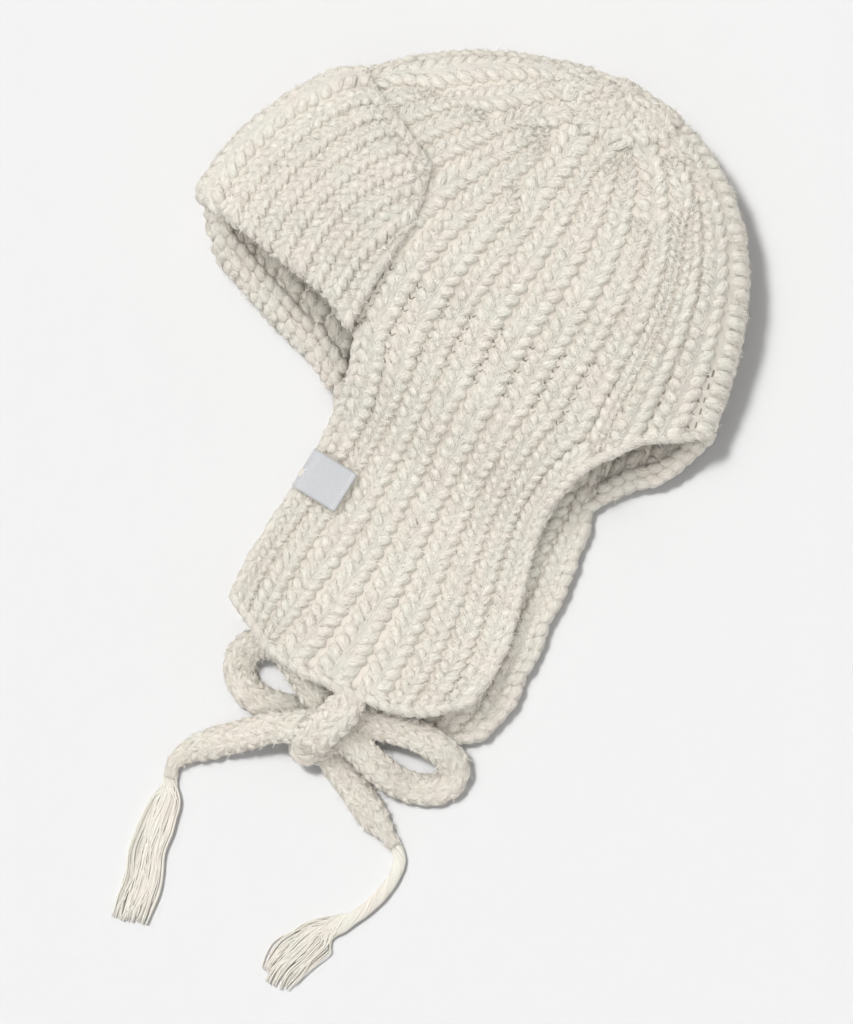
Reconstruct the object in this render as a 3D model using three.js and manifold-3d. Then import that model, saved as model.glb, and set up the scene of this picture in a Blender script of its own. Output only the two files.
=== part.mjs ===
// A knitted aviator hat, lying on its side: a ribbed crown with two ear flaps in one knitted body,
// a turned-up peak round the front, a small blank side label, and two flat ties in a bow.
// Millimetres, +Z up. +Y runs from the flaps to the crown's top, -X to the face, +X to the nape.
// The near layer lies over the far one, which rests on the ground at z = 0.
import * as THREE from "three";
import { mergeVertices } from "three/addons/utils/BufferGeometryUtils.js";
import Module from "manifold-3d";

const wasm = await Module();
wasm.setup();

// Driving sizes of the knitted body
const crownWidth = 276; // front centre to back centre, at the middle of the wall
const crownHeight = 137.3; // brim line to crown top
const flapLength = 194; // brim line to the tip of a flap
const wall = 7.5; // knitted wall, over the ribs
const ribGroove = 2.2; // depth of the grooves between ribs
const crownDepth = 45; // near layer above far layer, where the crown is thickest
const brimDepth = 33; // the same at the open face and nape
const flapDepth = 10; // the same between the two flaps
const tipDepth = 19; // and at their tips, where the ties pass between them
const farDrop = 24; // how far the far layer sits lower than the near one at the brim
const farSlide = 9; // and how far to the back
const farTipDrop = 2.4; // how far the far flap's tip shows below the near one's

// Driving sizes of the peak, the label and the ties
const peakWall = 7.5;
const peakGap = 1; // knitted faces that lie on each other keep this clearance
const ridgeEase = 4.8; // more clearance where the fold turns round the front
const peakRibs = 8; // ribs on each half of the peak
const labelWidth = 25; // from the flap's edge, on each leaf
const labelHeight = 22;
const labelThickness = 0.5;
const labelGap = 1;
const tieWidth = 17;
const tieThickness = 7;
const tieGap = 0.3; // between pieces of the bow that meet
const yarnBundle = 6; // thin yarns between a tie and its tassel
const knotLength = 37; // along the ties' pull
const knotWidth = 33;
const knotHeight = 24;
const tasselLocks = 7;
const tasselSpread = 10; // from the middle of a tassel to the middle of its outermost lock
const tasselThickness = 5;

// Shape constants of the crown: how its rib lines leave the top and meet the brim
const fanReach = 0.5;
const brimReach = 0.3;
const ridgeShare = 0.38; // height of the side ridge, as a share of the depth
const nearRound = { across: 2.6, along: 2.4 };
const farRound = { across: 6, along: 6 };
const farParting = 4; // how soon the far layer's brim parts from the near one's beside the ridge
const farPress = 1.04; // above 1: the far layer is pressed flat where it rests on the ground
const slideLines = { from: 4, over: 6 }; // rib lines over which the far layer's slide sets in

// How far the near layer lies above the far one, from the crown's top (0) over the brim (1) to the
// flaps' tips (2)
const depths = [
  { at: 0.55, depth: crownDepth },
  { at: 1, depth: brimDepth },
  { at: 1.4, depth: flapDepth },
  { at: 1.72, depth: flapDepth },
  { at: 2, depth: tipDepth },
];

// How much the far layer is lifted by the half of the peak under it, along the same way
const underPeakLift = [
  { at: 0.3, lift: 0 },
  { at: 0.45, lift: 1 },
  { at: 1, lift: 1 },
  { at: 1.2, lift: 0 },
];

// Rib lines from the front centre to the back centre. fan is the angle in degrees at which a line
// leaves the crown's top; x is a share of the crown's width, measured from the top, at the brim, the
// ear, the middle of the flap and its tip; drop is the brim's place below the brim line, and tip the
// flap's end, both as shares of the flap's length; groove is 0 where the line has no groove there.
const ribLines = [
  { fan: 180, brim: -0.612, drop: -0.041, groove: 0 },
  { fan: 187, brim: -0.558, drop: -0.021, groove: 1 },
  { fan: 193, brim: -0.504, drop: -0.005, groove: 1 },
  { fan: 200, brim: -0.449, drop: 0.015, groove: 1 },
  { fan: 209, brim: -0.391, drop: 0.036, groove: 1 },
  { fan: 220, brim: -0.337, drop: 0.057, groove: 1 },
  { fan: 232, brim: -0.272, drop: 0.124, ear: -0.248, flap: -0.248, end: -0.279, tip: 0.892, groove: 1 },
  { fan: 243, brim: -0.212, drop: 0.134, ear: -0.187, flap: -0.213, end: -0.246, tip: 0.925, groove: 1 },
  { fan: 253, brim: -0.149, drop: 0.134, ear: -0.147, flap: -0.172, end: -0.203, tip: 0.957, groove: 1 },
  { fan: 263, brim: -0.1, drop: 0.134, ear: -0.1, flap: -0.113, end: -0.16, tip: 0.98, groove: 1 },
  { fan: 276, brim: -0.041, drop: 0.134, ear: -0.049, flap: -0.058, end: -0.087, tip: 1, groove: 1 },
  { fan: 292, brim: 0.02, drop: 0.134, ear: 0.008, flap: 0.002, end: -0.007, tip: 1, groove: 1 },
  { fan: 308, brim: 0.077, drop: 0.134, ear: 0.059, flap: 0.061, end: 0.063, tip: 0.994, groove: 1 },
  { fan: 320, brim: 0.13, drop: 0.134, ear: 0.102, flap: 0.112, end: 0.113, tip: 0.99, groove: 1 },
  { fan: 328, brim: 0.196, drop: 0.134, ear: 0.153, flap: 0.161, end: 0.176, tip: 0.969, groove: 1 },
  { fan: 335, brim: 0.198, drop: 0.25, ear: 0.203, flap: 0.236, end: 0.207, tip: 0.887, groove: 0 },
  { fan: 343, brim: 0.275, drop: 0.119, groove: 1 },
  { fan: 353, brim: 0.353, drop: 0.052, groove: 1 },
  { fan: 360, brim: 0.393, drop: 0.01, groove: 0 },
];
const flapStations = { ear: 0.289, flap: 0.572, end: 0.881 }; // shares of the flap's length
const firstFlapLine = 6;
const lastFlapLine = 15;
const columnsPerRib = 3;
const crownRows = 10;
const flapRows = 7;
const faceLines = 7.4; // the far layer is lifted by the peak under it, up to this line
const faceBlend = 1.7; // lines over which that lift sets in
const grooveFade = 0.35; // share of the crown over which the grooves set in from its top

// The peak's side edge, as a rib line's number, from the fold (0) to the free edge (1)
const peakSide = [
  { at: 0, line: 5.5 },
  { at: 0.45, line: 5.55 },
  { at: 0.7, line: 5.3 },
  { at: 0.88, line: 4.8 },
  { at: 1, line: 4.1 },
];
const peakTop = 0.49; // how far down the crown the free edge lies
const peakRows = 7;

// How the peak turns round the brim into the hat: turn is the share of the way from its outer to its
// inner face, and reach how far it stands out below the brim, as a share of the peak's wall
const peakFold = [
  { turn: 0.35, reach: 0.75 },
  { turn: 0.75, reach: 1 },
  { turn: 1, reach: 0.8 },
];

const lastLine = ribLines.length - 1;
const lineShift = 1e-3; // step for slopes of the surface
const sameLine = 0.01; // columns this near to a rib line lie on it

const clamp = THREE.MathUtils.clamp;
const lerp = THREE.MathUtils.lerp;
const smooth = (x) => THREE.MathUtils.smoothstep(x, 0, 1);

// A value read from a short table whose rows have an "at" column, straight or eased between rows
function fromTable(rows, at, column, ease = (share) => share) {
  const next = rows.findIndex((row) => row.at >= at);
  if (next === 0) return rows[0][column];
  if (next < 0) return rows[rows.length - 1][column];
  const a = rows[next - 1];
  const b = rows[next];
  return lerp(a[column], b[column], ease((at - a.at) / (b.at - a.at)));
}

// A rib line in the crown, from the top (0) to the brim (1), in the plane of the ground
function crownLine(number, along) {
  const line = ribLines[number];
  const fan = THREE.MathUtils.degToRad(line.fan);
  const top = new THREE.Vector2(0, crownHeight);
  const brim = new THREE.Vector2(line.brim * crownWidth, -line.drop * flapLength);
  const span = top.distanceTo(brim);
  const leave = new THREE.Vector2(Math.cos(fan), Math.sin(fan)).multiplyScalar(fanReach * span).add(top);
  const meet = new THREE.Vector2(0, brimReach * span).add(brim);
  return new THREE.CubicBezierCurve(top, leave, meet, brim).getPoint(along);
}

// A rib line in the flap, from the brim (0) to the tip (1): a curve through four stations
function flapLine(number, along) {
  const line = ribLines[number];
  const at = lerp(line.drop, line.tip, along);
  const stations = [
    [line.drop, line.brim],
    [flapStations.ear, line.ear],
    [flapStations.flap, line.flap],
    [flapStations.end, line.end],
  ];
  const x = stations.reduce((sum, [own, value]) => {
    const others = stations.filter(([other]) => other !== own);
    return sum + others.reduce((term, [other]) => (term * (at - other)) / (own - other), value);
  }, 0);
  return new THREE.Vector2(x * crownWidth, -at * flapLength);
}

// A point between two rib lines; along runs from the top (0) over the brim (1) to the tip (2)
function planPoint(line, along) {
  const left = Math.min(Math.floor(line), along > 1 ? lastFlapLine - 1 : lastLine - 1);
  const pick = along > 1 ? (number) => flapLine(number, along - 1) : (number) => crownLine(number, along);
  return pick(left).lerp(pick(left + 1), line - left);
}

// The middle of the knitted wall. around runs over the near layer from the front centre (0) to the
// back centre, and on over the far layer back to the front.
function wallMiddle(around, along) {
  const turn = 2 * lastLine;
  const loop = ((around % turn) + turn) % turn;
  const far = loop > lastLine;
  const line = far ? turn - loop : loop;
  const plan = planPoint(line, along);
  const left = Math.floor(line);
  const brimX = lerp(ribLines[left].brim, ribLines[Math.min(left + 1, lastLine)].brim, line - left);
  const front = ribLines[0].brim;
  const across = Math.abs((2 * (brimX - front)) / (ribLines[lastLine].brim - front) - 1);
  const rise = 1 - clamp(along, 0, 1);
  const depth = fromTable(depths, along, "depth", smooth);
  const ridge = wall / 2 + ridgeShare * depth;
  const round = far ? farRound : nearRound;
  const full = Math.sqrt((1 - across ** round.across) * (1 - rise ** round.along));
  if (!far) return new THREE.Vector3(plan.x, plan.y, lerp(ridge, wall / 2 + depth, full));
  const lifted = smooth((faceLines - line) / faceBlend) * fromTable(underPeakLift, along, "lift", smooth);
  const floor = wall / 2 + (peakWall + peakGap) * lifted;
  const apart = (1 - across ** farParting) * clamp(along, 0, 1) ** 2;
  plan.x += farSlide * apart * clamp((line - slideLines.from) / slideLines.over, 0, 1);
  plan.y -= apart * lerp(farDrop, farTipDrop, smooth(along - 1));
  return new THREE.Vector3(plan.x, plan.y, lerp(ridge, floor, Math.min(1, farPress * full)));
}

// The wall's outward normal, from its slopes
function wallNormal(around, along) {
  if (along <= 0) return new THREE.Vector3(0, 1, 0);
  const inFlap = along > 1;
  const nearEnds = [firstFlapLine, lastFlapLine];
  const farEnds = [2 * lastLine - lastFlapLine, 2 * lastLine - firstFlapLine];
  const ends = around < lastLine ? nearEnds : farEnds;
  const right = inFlap ? Math.min(around + lineShift, ends[1]) : around + lineShift;
  const left = inFlap ? Math.max(around - lineShift, ends[0]) : around - lineShift;
  const lower = inFlap || along < 1 ? along + lineShift : along;
  const acrossSlope = wallMiddle(right, along).sub(wallMiddle(left, along));
  const alongSlope = wallMiddle(around, Math.min(lower, 2)).sub(wallMiddle(around, along - lineShift));
  return alongSlope.cross(acrossSlope).normalize();
}

// How deep the groove is at a place: full on a rib line, none between two lines
function grooveAt(around, along) {
  const line = around > lastLine ? 2 * lastLine - around : around;
  const near = Math.round(line);
  if (Math.abs(line - near) > sameLine) return 0;
  return ribGroove * ribLines[near].groove * smooth(along / grooveFade);
}

// One closed solid between an outer and an inner sheet of points that share their faces
function thicken(outer, inner, faces) {
  const count = outer.length;
  const edges = new Map();
  const key = (a, b) => a + "," + b;
  const sides = faces.flatMap(([a, b, c]) => [[a, b], [b, c], [c, a]]);
  sides.forEach(([p, q]) => edges.set(key(p, q), [p, q]));
  const rim = [...edges.values()].filter(([p, q]) => !edges.has(key(q, p)));
  const index = [
    ...faces.flat(),
    ...faces.flatMap(([a, b, c]) => [count + a, count + c, count + b]),
    ...rim.flatMap(([p, q]) => [p, count + p, q, q, count + p, count + q]),
  ];
  const geometry = new THREE.BufferGeometry().setFromPoints([...outer, ...inner]);
  geometry.setIndex(index);
  return geometry;
}

// The crown with both flaps: one hollow shell, open at the face, at the nape and between the flaps
function knittedBody() {
  const outer = [];
  const inner = [];
  const faces = [];
  const put = (around, along) => {
    const middle = wallMiddle(around, along);
    const normal = wallNormal(around, along);
    outer.push(middle.clone().addScaledVector(normal, wall / 2 - grooveAt(around, along)));
    inner.push(middle.clone().addScaledVector(normal, -wall / 2));
    return outer.length - 1;
  };
  const columns = 2 * lastLine * columnsPerRib;
  const top = put(0, 0);
  const grid = Array.from({ length: columns }, (_, column) => {
    const around = column / columnsPerRib;
    const line = Math.min(around, 2 * lastLine - around);
    const inFlap = line >= firstFlapLine && line <= lastFlapLine;
    const rows = Array.from({ length: crownRows }, (_, row) => put(around, (row + 1) / crownRows));
    if (!inFlap) return rows;
    const below = Array.from({ length: flapRows }, (_, row) => put(around, 1 + (row + 1) / flapRows));
    return [...rows, ...below];
  });
  grid.forEach((left, column) => {
    const right = grid[(column + 1) % columns];
    faces.push([top, left[0], right[0]]);
    for (let row = 0; row + 1 < Math.min(left.length, right.length); row += 1) {
      faces.push([left[row], left[row + 1], right[row + 1]]);
      faces.push([left[row], right[row + 1], right[row]]);
    }
  });
  return thicken(outer, inner, faces);
}

// The turned-up peak: a ribbed panel on the outside of the front, wrapped round the brim at its fold
function turnedUpPeak() {
  const outer = [];
  const inner = [];
  const faces = [];
  const columns = 2 * peakRibs * columnsPerRib;
  const lift = wall / 2 + peakGap;
  const rowPoints = (around, along, column) => {
    const groove = column % columnsPerRib === 0 && column > 0 && column < columns ? ribGroove : 0;
    const normal = wallNormal(around, along);
    const middle = wallMiddle(around, along);
    outer.push(middle.clone().addScaledVector(normal, lift + peakWall - groove));
    inner.push(middle.clone().addScaledVector(normal, lift));
  };
  for (let column = 0; column <= columns; column += 1) {
    const share = (2 * column) / columns - 1;
    for (let row = 0; row < peakRows; row += 1) {
      const up = 1 - row / (peakRows - 1);
      const around = share * fromTable(peakSide, up, "line");
      rowPoints(around, lerp(1, peakTop, up), column);
    }
    const around = share * peakSide[0].line;
    const normal = wallNormal(around, 1);
    const middle = wallMiddle(around, 1);
    const down = middle.clone().sub(wallMiddle(around, 1 - lineShift)).normalize();
    const ease = peakGap + ridgeEase * (1 - Math.abs(share)) ** 2;
    peakFold.slice(1).forEach(({ turn, reach }) => {
      const inward = turn * (wall + 2 * peakGap);
      const outerLift = lerp(lift + peakWall, -wall / 2, turn);
      const innerLift = lift - inward;
      outer.push(
        middle.clone().addScaledVector(normal, outerLift).addScaledVector(down, ease + reach * peakWall),
      );
      inner.push(middle.clone().addScaledVector(normal, innerLift).addScaledVector(down, ease));
    });
  }
  const rows = peakRows + peakFold.length - 1;
  for (let column = 0; column < columns; column += 1) {
    for (let row = 0; row + 1 < rows; row += 1) {
      const here = column * rows + row;
      const beside = here + rows;
      faces.push([here, here + 1, beside + 1]);
      faces.push([here, beside + 1, beside]);
    }
  }
  return thicken(outer, inner, faces);
}

// The side label: a thin woven strip folded round the front edge of the near flap, left blank
const labelAlong = 1.46; // its place down the flap
const labelTurn = -8; // degrees, so that it stands square to the flap's edge
const labelRounding = 5; // flat steps in a quarter of its fold
function sideLabel() {
  const edge = wallMiddle(firstFlapLine, labelAlong);
  const ribPitch = wallMiddle(firstFlapLine + 1, labelAlong).distanceTo(edge);
  const covered = labelWidth / ribPitch;
  const reach = labelHeight / flapLength;
  const steps = [-1, -0.5, 0, 0.5, 1];
  const places = steps.flatMap((across) => steps.map((down) => [(covered * (1 + across)) / 2, reach * down]));
  const under = places.map(([line, down]) => wallMiddle(firstFlapLine + line, labelAlong + down).z);
  const top = Math.max(...under) + wall / 2 + labelGap;
  const bottom = Math.min(...under) - wall / 2 - labelGap;
  const radius = (top - bottom) / 2;
  const section = new THREE.Shape();
  section.moveTo(labelWidth, bottom - labelThickness);
  section.lineTo(0, bottom - labelThickness);
  section.absarc(0, (top + bottom) / 2, radius + labelThickness, -Math.PI / 2, Math.PI / 2, true);
  section.lineTo(labelWidth, top + labelThickness);
  section.lineTo(labelWidth, top);
  section.lineTo(0, top);
  section.absarc(0, (top + bottom) / 2, radius, Math.PI / 2, -Math.PI / 2, false);
  section.lineTo(labelWidth, bottom);
  section.closePath();
  const geometry = new THREE.ExtrudeGeometry(section, {
    depth: labelHeight,
    bevelEnabled: false,
    curveSegments: labelRounding,
  });
  geometry.translate(0, 0, -labelHeight / 2);
  geometry.rotateX(Math.PI / 2);
  return { geometry, edge };
}

// A flat tie along its route: an oval section swept along a smooth curve
function oval(width, thickness, sides) {
  const corners = Array.from({ length: sides }, (_, i) => {
    const turn = ((i + 0.5) / sides) * 2 * Math.PI;
    return new THREE.Vector2((Math.cos(turn) * thickness) / 2, (Math.sin(turn) * width) / 2);
  });
  return new THREE.Shape(corners);
}

// A curve along which a section keeps its short side upright, as a flat tie lies on the ground
class LyingPath extends THREE.CatmullRomCurve3 {
  computeFrenetFrames(segments) {
    const up = new THREE.Vector3(0, 0, 1);
    const tangents = Array.from({ length: segments + 1 }, (_, i) => this.getTangentAt(i / segments));
    const normals = tangents.map((t) => up.clone().addScaledVector(t, -t.dot(up)).normalize());
    const binormals = tangents.map((t, i) => t.clone().cross(normals[i]));
    return { tangents, normals, binormals };
  }
}

function lyingPath(route) {
  return new LyingPath(route.map((point) => new THREE.Vector3(...point)));
}

function tube(route, width, thickness, step, sides) {
  const path = lyingPath(route);
  const steps = Math.ceil(path.getLength() / step);
  return new THREE.ExtrudeGeometry(oval(width, thickness, sides), { steps, extrudePath: path });
}

// Routes of the ties, chosen by hand: the middle of the tie, measured from the near flap's tip
// where it is tied, with z above the ground
const tieRest = 3.6;
const tieSides = 8;
const tieStep = 11;
const yarnRest = 3.2;
const yarnStep = 5;
const leftLoopRoute = [
  [-13.8, -12, 12.6],
  [-23.3, -7.6, 12.4],
  [-32.3, -3, 12],
  [-42.9, 2.6, 11.8],
  [-52.9, 0.9, 9.5],
  [-58.9, -5.3, 5.5],
  [-57.9, -13.3, tieRest],
  [-50.9, -19, tieRest],
  [-40.9, -21, tieRest],
  [-29.9, -21, tieRest],
  [-16.9, -20, tieRest],
];
const rightLoopRoute = [
  [1.2, -16, 13],
  [12.2, -10.3, 12.6],
  [25.1, -7.3, 12],
  [39.1, -5.8, 12],
  [51.1, -7, 11.4],
  [59.1, -11.3, 7.6],
  [62.1, -18.3, 4.6],
  [58.6, -25.8, tieRest],
  [49.1, -30.6, tieRest],
  [37.1, -31, 7],
  [25.1, -28, 11.6],
  [14.1, -23.5, 12.4],
  [3.2, -20, 12.6],
];
const leftTailRoute = [
  [-12.8, -22, 15],
  [-21.3, -27.6, 14],
  [-30.8, -33, 12],
  [-39.8, -40.5, 8.4],
  [-48.8, -48, 5],
  [-57.8, -55.5, tieRest],
  [-65.3, -61.5, tieRest],
];
const rightTailRoute = [
  [-6.8, -24, tieRest],
  [3.1, -32.8, tieRest],
  [12.1, -38.8, tieRest],
  [23.1, -45.3, tieRest],
  [33.1, -51.3, tieRest],
  [43.1, -56.8, tieRest],
];
const rightYarnRoute = [
  [43.7, -57.1, tieRest],
  [52.3, -63, yarnRest],
  [56.9, -70.8, yarnRest],
  [56.8, -83, yarnRest],
  [51.7, -96.1, yarnRest],
  [45.5, -104.3, yarnRest],
];
const leftTasselRoute = [
  [-67.5, -63.7, 3],
  [-69.8, -71, 3],
  [-66.8, -90, 2.8],
  [-55.1, -146, 2.7],
];
const rightTasselRoute = [
  [45.2, -104.9, 3],
  [40.7, -110.5, 3],
  [34.2, -122, 2.8],
  [22.1, -149.3, 2.7],
];

// A closed geometry as a solid that can be joined and cut
function toSolid(geometry) {
  const bare = geometry.clone();
  bare.deleteAttribute("normal");
  bare.deleteAttribute("uv");
  const merged = mergeVertices(bare, 1e-4);
  return new wasm.Manifold(
    new wasm.Mesh({
      numProp: 3,
      vertProperties: new Float32Array(merged.getAttribute("position").array),
      triVerts: new Uint32Array(merged.getIndex().array),
    }),
  );
}

function toGeometry(solid) {
  const mesh = solid.getMesh();
  const geometry = new THREE.BufferGeometry();
  geometry.setAttribute("position", new THREE.BufferAttribute(mesh.vertProperties, 3));
  geometry.setIndex(new THREE.BufferAttribute(mesh.triVerts, 1));
  return geometry;
}

// The bow's knot: a block with rounded corners, pressed flat below where it rests
const knotAside = -5.4; // its middle, sideways from where the ties are sewn on
const knotFoot = 0.42; // how much of its height lies below its middle
const knotSquareness = 0.7; // 1 would be an egg, 0 a box
const knotSides = 12;
const knotRings = 7;
function bowKnot(clearance) {
  const geometry = new THREE.SphereGeometry(1, knotSides, knotRings);
  geometry.rotateX(Math.PI / 2);
  const position = geometry.getAttribute("position");
  const squared = (value, size) =>
    Math.sign(value) * Math.abs(value) ** knotSquareness * (size / 2 + clearance);
  for (let i = 0; i < position.count; i += 1) {
    position.setXYZ(
      i,
      squared(position.getX(i), knotWidth),
      squared(position.getY(i), knotLength),
      Math.max(squared(position.getZ(i), knotHeight), -knotFoot * knotHeight - clearance),
    );
  }
  geometry.translate(knotAside, -farTipDrop - tieGap - knotLength / 2, knotFoot * knotHeight);
  return geometry;
}

// A stretch of tie that comes out of the knot
function outOfKnot(geometry) {
  const stretch = toSolid(geometry).subtract(toSolid(bowKnot(tieGap)));
  const pieces = stretch.decompose();
  return toGeometry(pieces.reduce((most, piece) => (piece.volume() > most.volume() ? piece : most)));
}

// A tassel: a short head and a fan of locks fused to it, lying on the ground. The fan's table gives
// how far out a lock runs, as a share of the spread, along the tassel's length.
const headShare = 0.25; // share of the tassel's length that its head takes
const headWidth = 7.8;
const lockFan = [
  { at: 0.12, out: 0.12 },
  { at: 0.35, out: 0.55 },
  { at: 0.7, out: 1 },
  { at: 1, out: 0.95 },
];
const lockShorter = { outermost: 0.08, everySecond: 0.04 }; // shares of the tassel's length
const lockOverlap = 1.25; // a lock's width, as a share of its pitch
const lockSides = 6;
const lockStep = 18;
function tassel(route) {
  const path = lyingPath(route);
  const neck = [0, 0.5, 1].map((share) => path.getPointAt(share * headShare).toArray());
  const lockWidth = (2 * tasselSpread * lockOverlap) / tasselLocks;
  const locks = Array.from({ length: tasselLocks }, (_, i) => {
    const share = (2 * i) / (tasselLocks - 1) - 1;
    const shorter = lockShorter.outermost * share * share + lockShorter.everySecond * (i % 2);
    const points = lockFan.map(({ at, out }) => {
      const along = at * (1 - shorter);
      const pull = path.getTangentAt(along);
      const side = new THREE.Vector3(-pull.y, pull.x, 0).normalize();
      return path.getPointAt(along).addScaledVector(side, share * tasselSpread * out).toArray();
    });
    return toSolid(tube(points, lockWidth, tasselThickness, lockStep, lockSides));
  });
  const head = toSolid(tube(neck, headWidth, tasselThickness, lockStep, lockSides));
  return toGeometry(locks.reduce((joined, lock) => joined.add(lock), head));
}

// Materials, from the photograph
const knit = new THREE.MeshStandardMaterial({ color: 0xe4ddcf, roughness: 0.95, metalness: 0 });
const peakKnit = new THREE.MeshStandardMaterial({ color: 0xe0d9ca, roughness: 0.95, metalness: 0 });
const woven = new THREE.MeshStandardMaterial({ color: 0xd3d8e0, roughness: 0.6, metalness: 0 });
const braid = new THREE.MeshStandardMaterial({ color: 0xdcd4c6, roughness: 0.95, metalness: 0 });
const yarn = new THREE.MeshStandardMaterial({ color: 0xece8dd, roughness: 0.9, metalness: 0 });

const hat = new THREE.Group();

function piece(name, geometry, material) {
  const mesh = new THREE.Mesh(geometry, material);
  mesh.name = name;
  return mesh;
}

const knitted = new THREE.Group();
hat.add(knitted);
knitted.add(piece("knitted_body", knittedBody(), knit));
knitted.add(piece("turned_up_peak", turnedUpPeak(), peakKnit));
const label = sideLabel();
const labelMesh = piece("side_label", label.geometry, woven);
labelMesh.position.set(label.edge.x, label.edge.y, 0);
labelMesh.rotation.z = THREE.MathUtils.degToRad(labelTurn);
knitted.add(labelMesh);

// The plan is drawn from the brim line under the crown's top. This moves it to the middle of the box
// of the knitted pieces, on the ground.
const middle = new THREE.Box3().setFromObject(knitted).getCenter(new THREE.Vector3());
knitted.position.set(-middle.x, -middle.y, 0);

// The ties are sewn on at the middle of the flaps' tips
const tied = new THREE.Group();
const tieLine = 11.05;
const tip = planPoint(tieLine, 2);
tied.position.set(tip.x, tip.y, 0);
knitted.add(tied);

function tieStretch(name, route) {
  return piece(name, outOfKnot(tube(route, tieWidth, tieThickness, tieStep, tieSides)), braid);
}

tied.add(piece("bow_knot", bowKnot(0), braid));
tied.add(tieStretch("left_loop", leftLoopRoute));
tied.add(tieStretch("right_loop", rightLoopRoute));
tied.add(tieStretch("left_tail", leftTailRoute));
tied.add(tieStretch("right_tail", rightTailRoute));
tied.add(piece("right_tail_yarns", tube(rightYarnRoute, yarnBundle, yarnBundle, yarnStep, tieSides), yarn));
tied.add(piece("left_tassel", tassel(leftTasselRoute), yarn));
tied.add(piece("right_tassel", tassel(rightTasselRoute), yarn));

export default hat;
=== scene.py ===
# The looks of a knitted aviator hat that lies on its side, with its ties in a bow.
# Lengths here are millimetres until a mesh is made. +Z up, +Y from the flaps to the crown's top,
# -X to the face and +X to the nape.
import math

import bpy
import numpy as np
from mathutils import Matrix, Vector


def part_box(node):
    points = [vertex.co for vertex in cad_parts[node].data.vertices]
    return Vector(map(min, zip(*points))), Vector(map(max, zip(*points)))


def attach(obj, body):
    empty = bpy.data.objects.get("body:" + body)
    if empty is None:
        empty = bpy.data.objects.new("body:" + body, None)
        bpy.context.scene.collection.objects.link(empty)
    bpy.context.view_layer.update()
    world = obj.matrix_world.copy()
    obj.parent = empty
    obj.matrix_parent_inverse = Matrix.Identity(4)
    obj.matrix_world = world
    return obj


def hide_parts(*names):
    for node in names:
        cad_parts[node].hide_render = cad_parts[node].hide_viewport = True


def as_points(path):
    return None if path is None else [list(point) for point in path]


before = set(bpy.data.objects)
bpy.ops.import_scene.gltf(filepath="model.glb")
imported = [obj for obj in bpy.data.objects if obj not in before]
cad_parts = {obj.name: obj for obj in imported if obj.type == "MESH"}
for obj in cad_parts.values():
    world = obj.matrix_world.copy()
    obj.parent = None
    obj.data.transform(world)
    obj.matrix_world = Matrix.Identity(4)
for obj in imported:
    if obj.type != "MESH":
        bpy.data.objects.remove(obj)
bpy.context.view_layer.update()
MM = 0.001
RANDOM = np.random.default_rng(7)

# Driving sizes of the knitted body, as in the solids
CROWN_WIDTH = 276.0
CROWN_HEIGHT = 137.3
FLAP_LENGTH = 194.0
WALL = 7.5
CROWN_DEPTH = 45.0
BRIM_DEPTH = 33.0
FLAP_DEPTH = 10.0
TIP_DEPTH = 19.0
FAR_DROP = 21.0
FACE_DROP = 9.5  # the far layer hangs this much lower still at the face
FACE_EASE = 0.15  # the share of it at the very front
FACE_EASE_LINES = (1.0, 5.0)
NAPE_DROP = 10.0
NAPE_LINES = (15.2, 17.2)
FAR_SLIDE = ((1.0, 9.0), (1.3, 13.0), (1.65, 5.0), (2.0, 11.0))
FAR_TIP_DROP = 2.4
# The far flap shows past the near one's back edge: how far it is slid out there and how much lower it ends
FAR_BACK = ((1.0, 0.0), (1.15, 8.6), (1.3, 10.4), (1.45, 12.0), (1.66, 12.2), (1.8, 7.4), (2.0, 2.4))
FAR_BACK_DROP = 11.0
FAR_BACK_LINES = (11.0, 15.0)
FAR_BACK_END = (1.5, 2.0)
PEAK_WALL = 7.5
PEAK_GAP = 1.0
PEAK_RIBS = 10
FAN_REACH = 0.5
BRIM_REACH = 0.3
FACE_REACH = 0.22
RIDGE_SHARE = 0.38
NEAR_ROUND = (2.6, 2.4)
FAR_ROUND = (6.0, 6.0)
FAR_PARTING = (18.0, 7.0)  # at the face and at the nape
FAR_PRESS = 1.04
SLIDE_LINES = (4.0, 6.0)
FACE_LINES = 7.4
FACE_BLEND = 1.7
DEPTHS = ((0.55, CROWN_DEPTH), (1.0, BRIM_DEPTH), (1.4, FLAP_DEPTH), (1.72, FLAP_DEPTH), (2.0, TIP_DEPTH))
PEAK_LIFT = ((0.3, 0.0), (0.45, 1.0), (1.0, 1.0), (1.2, 0.0))

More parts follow.
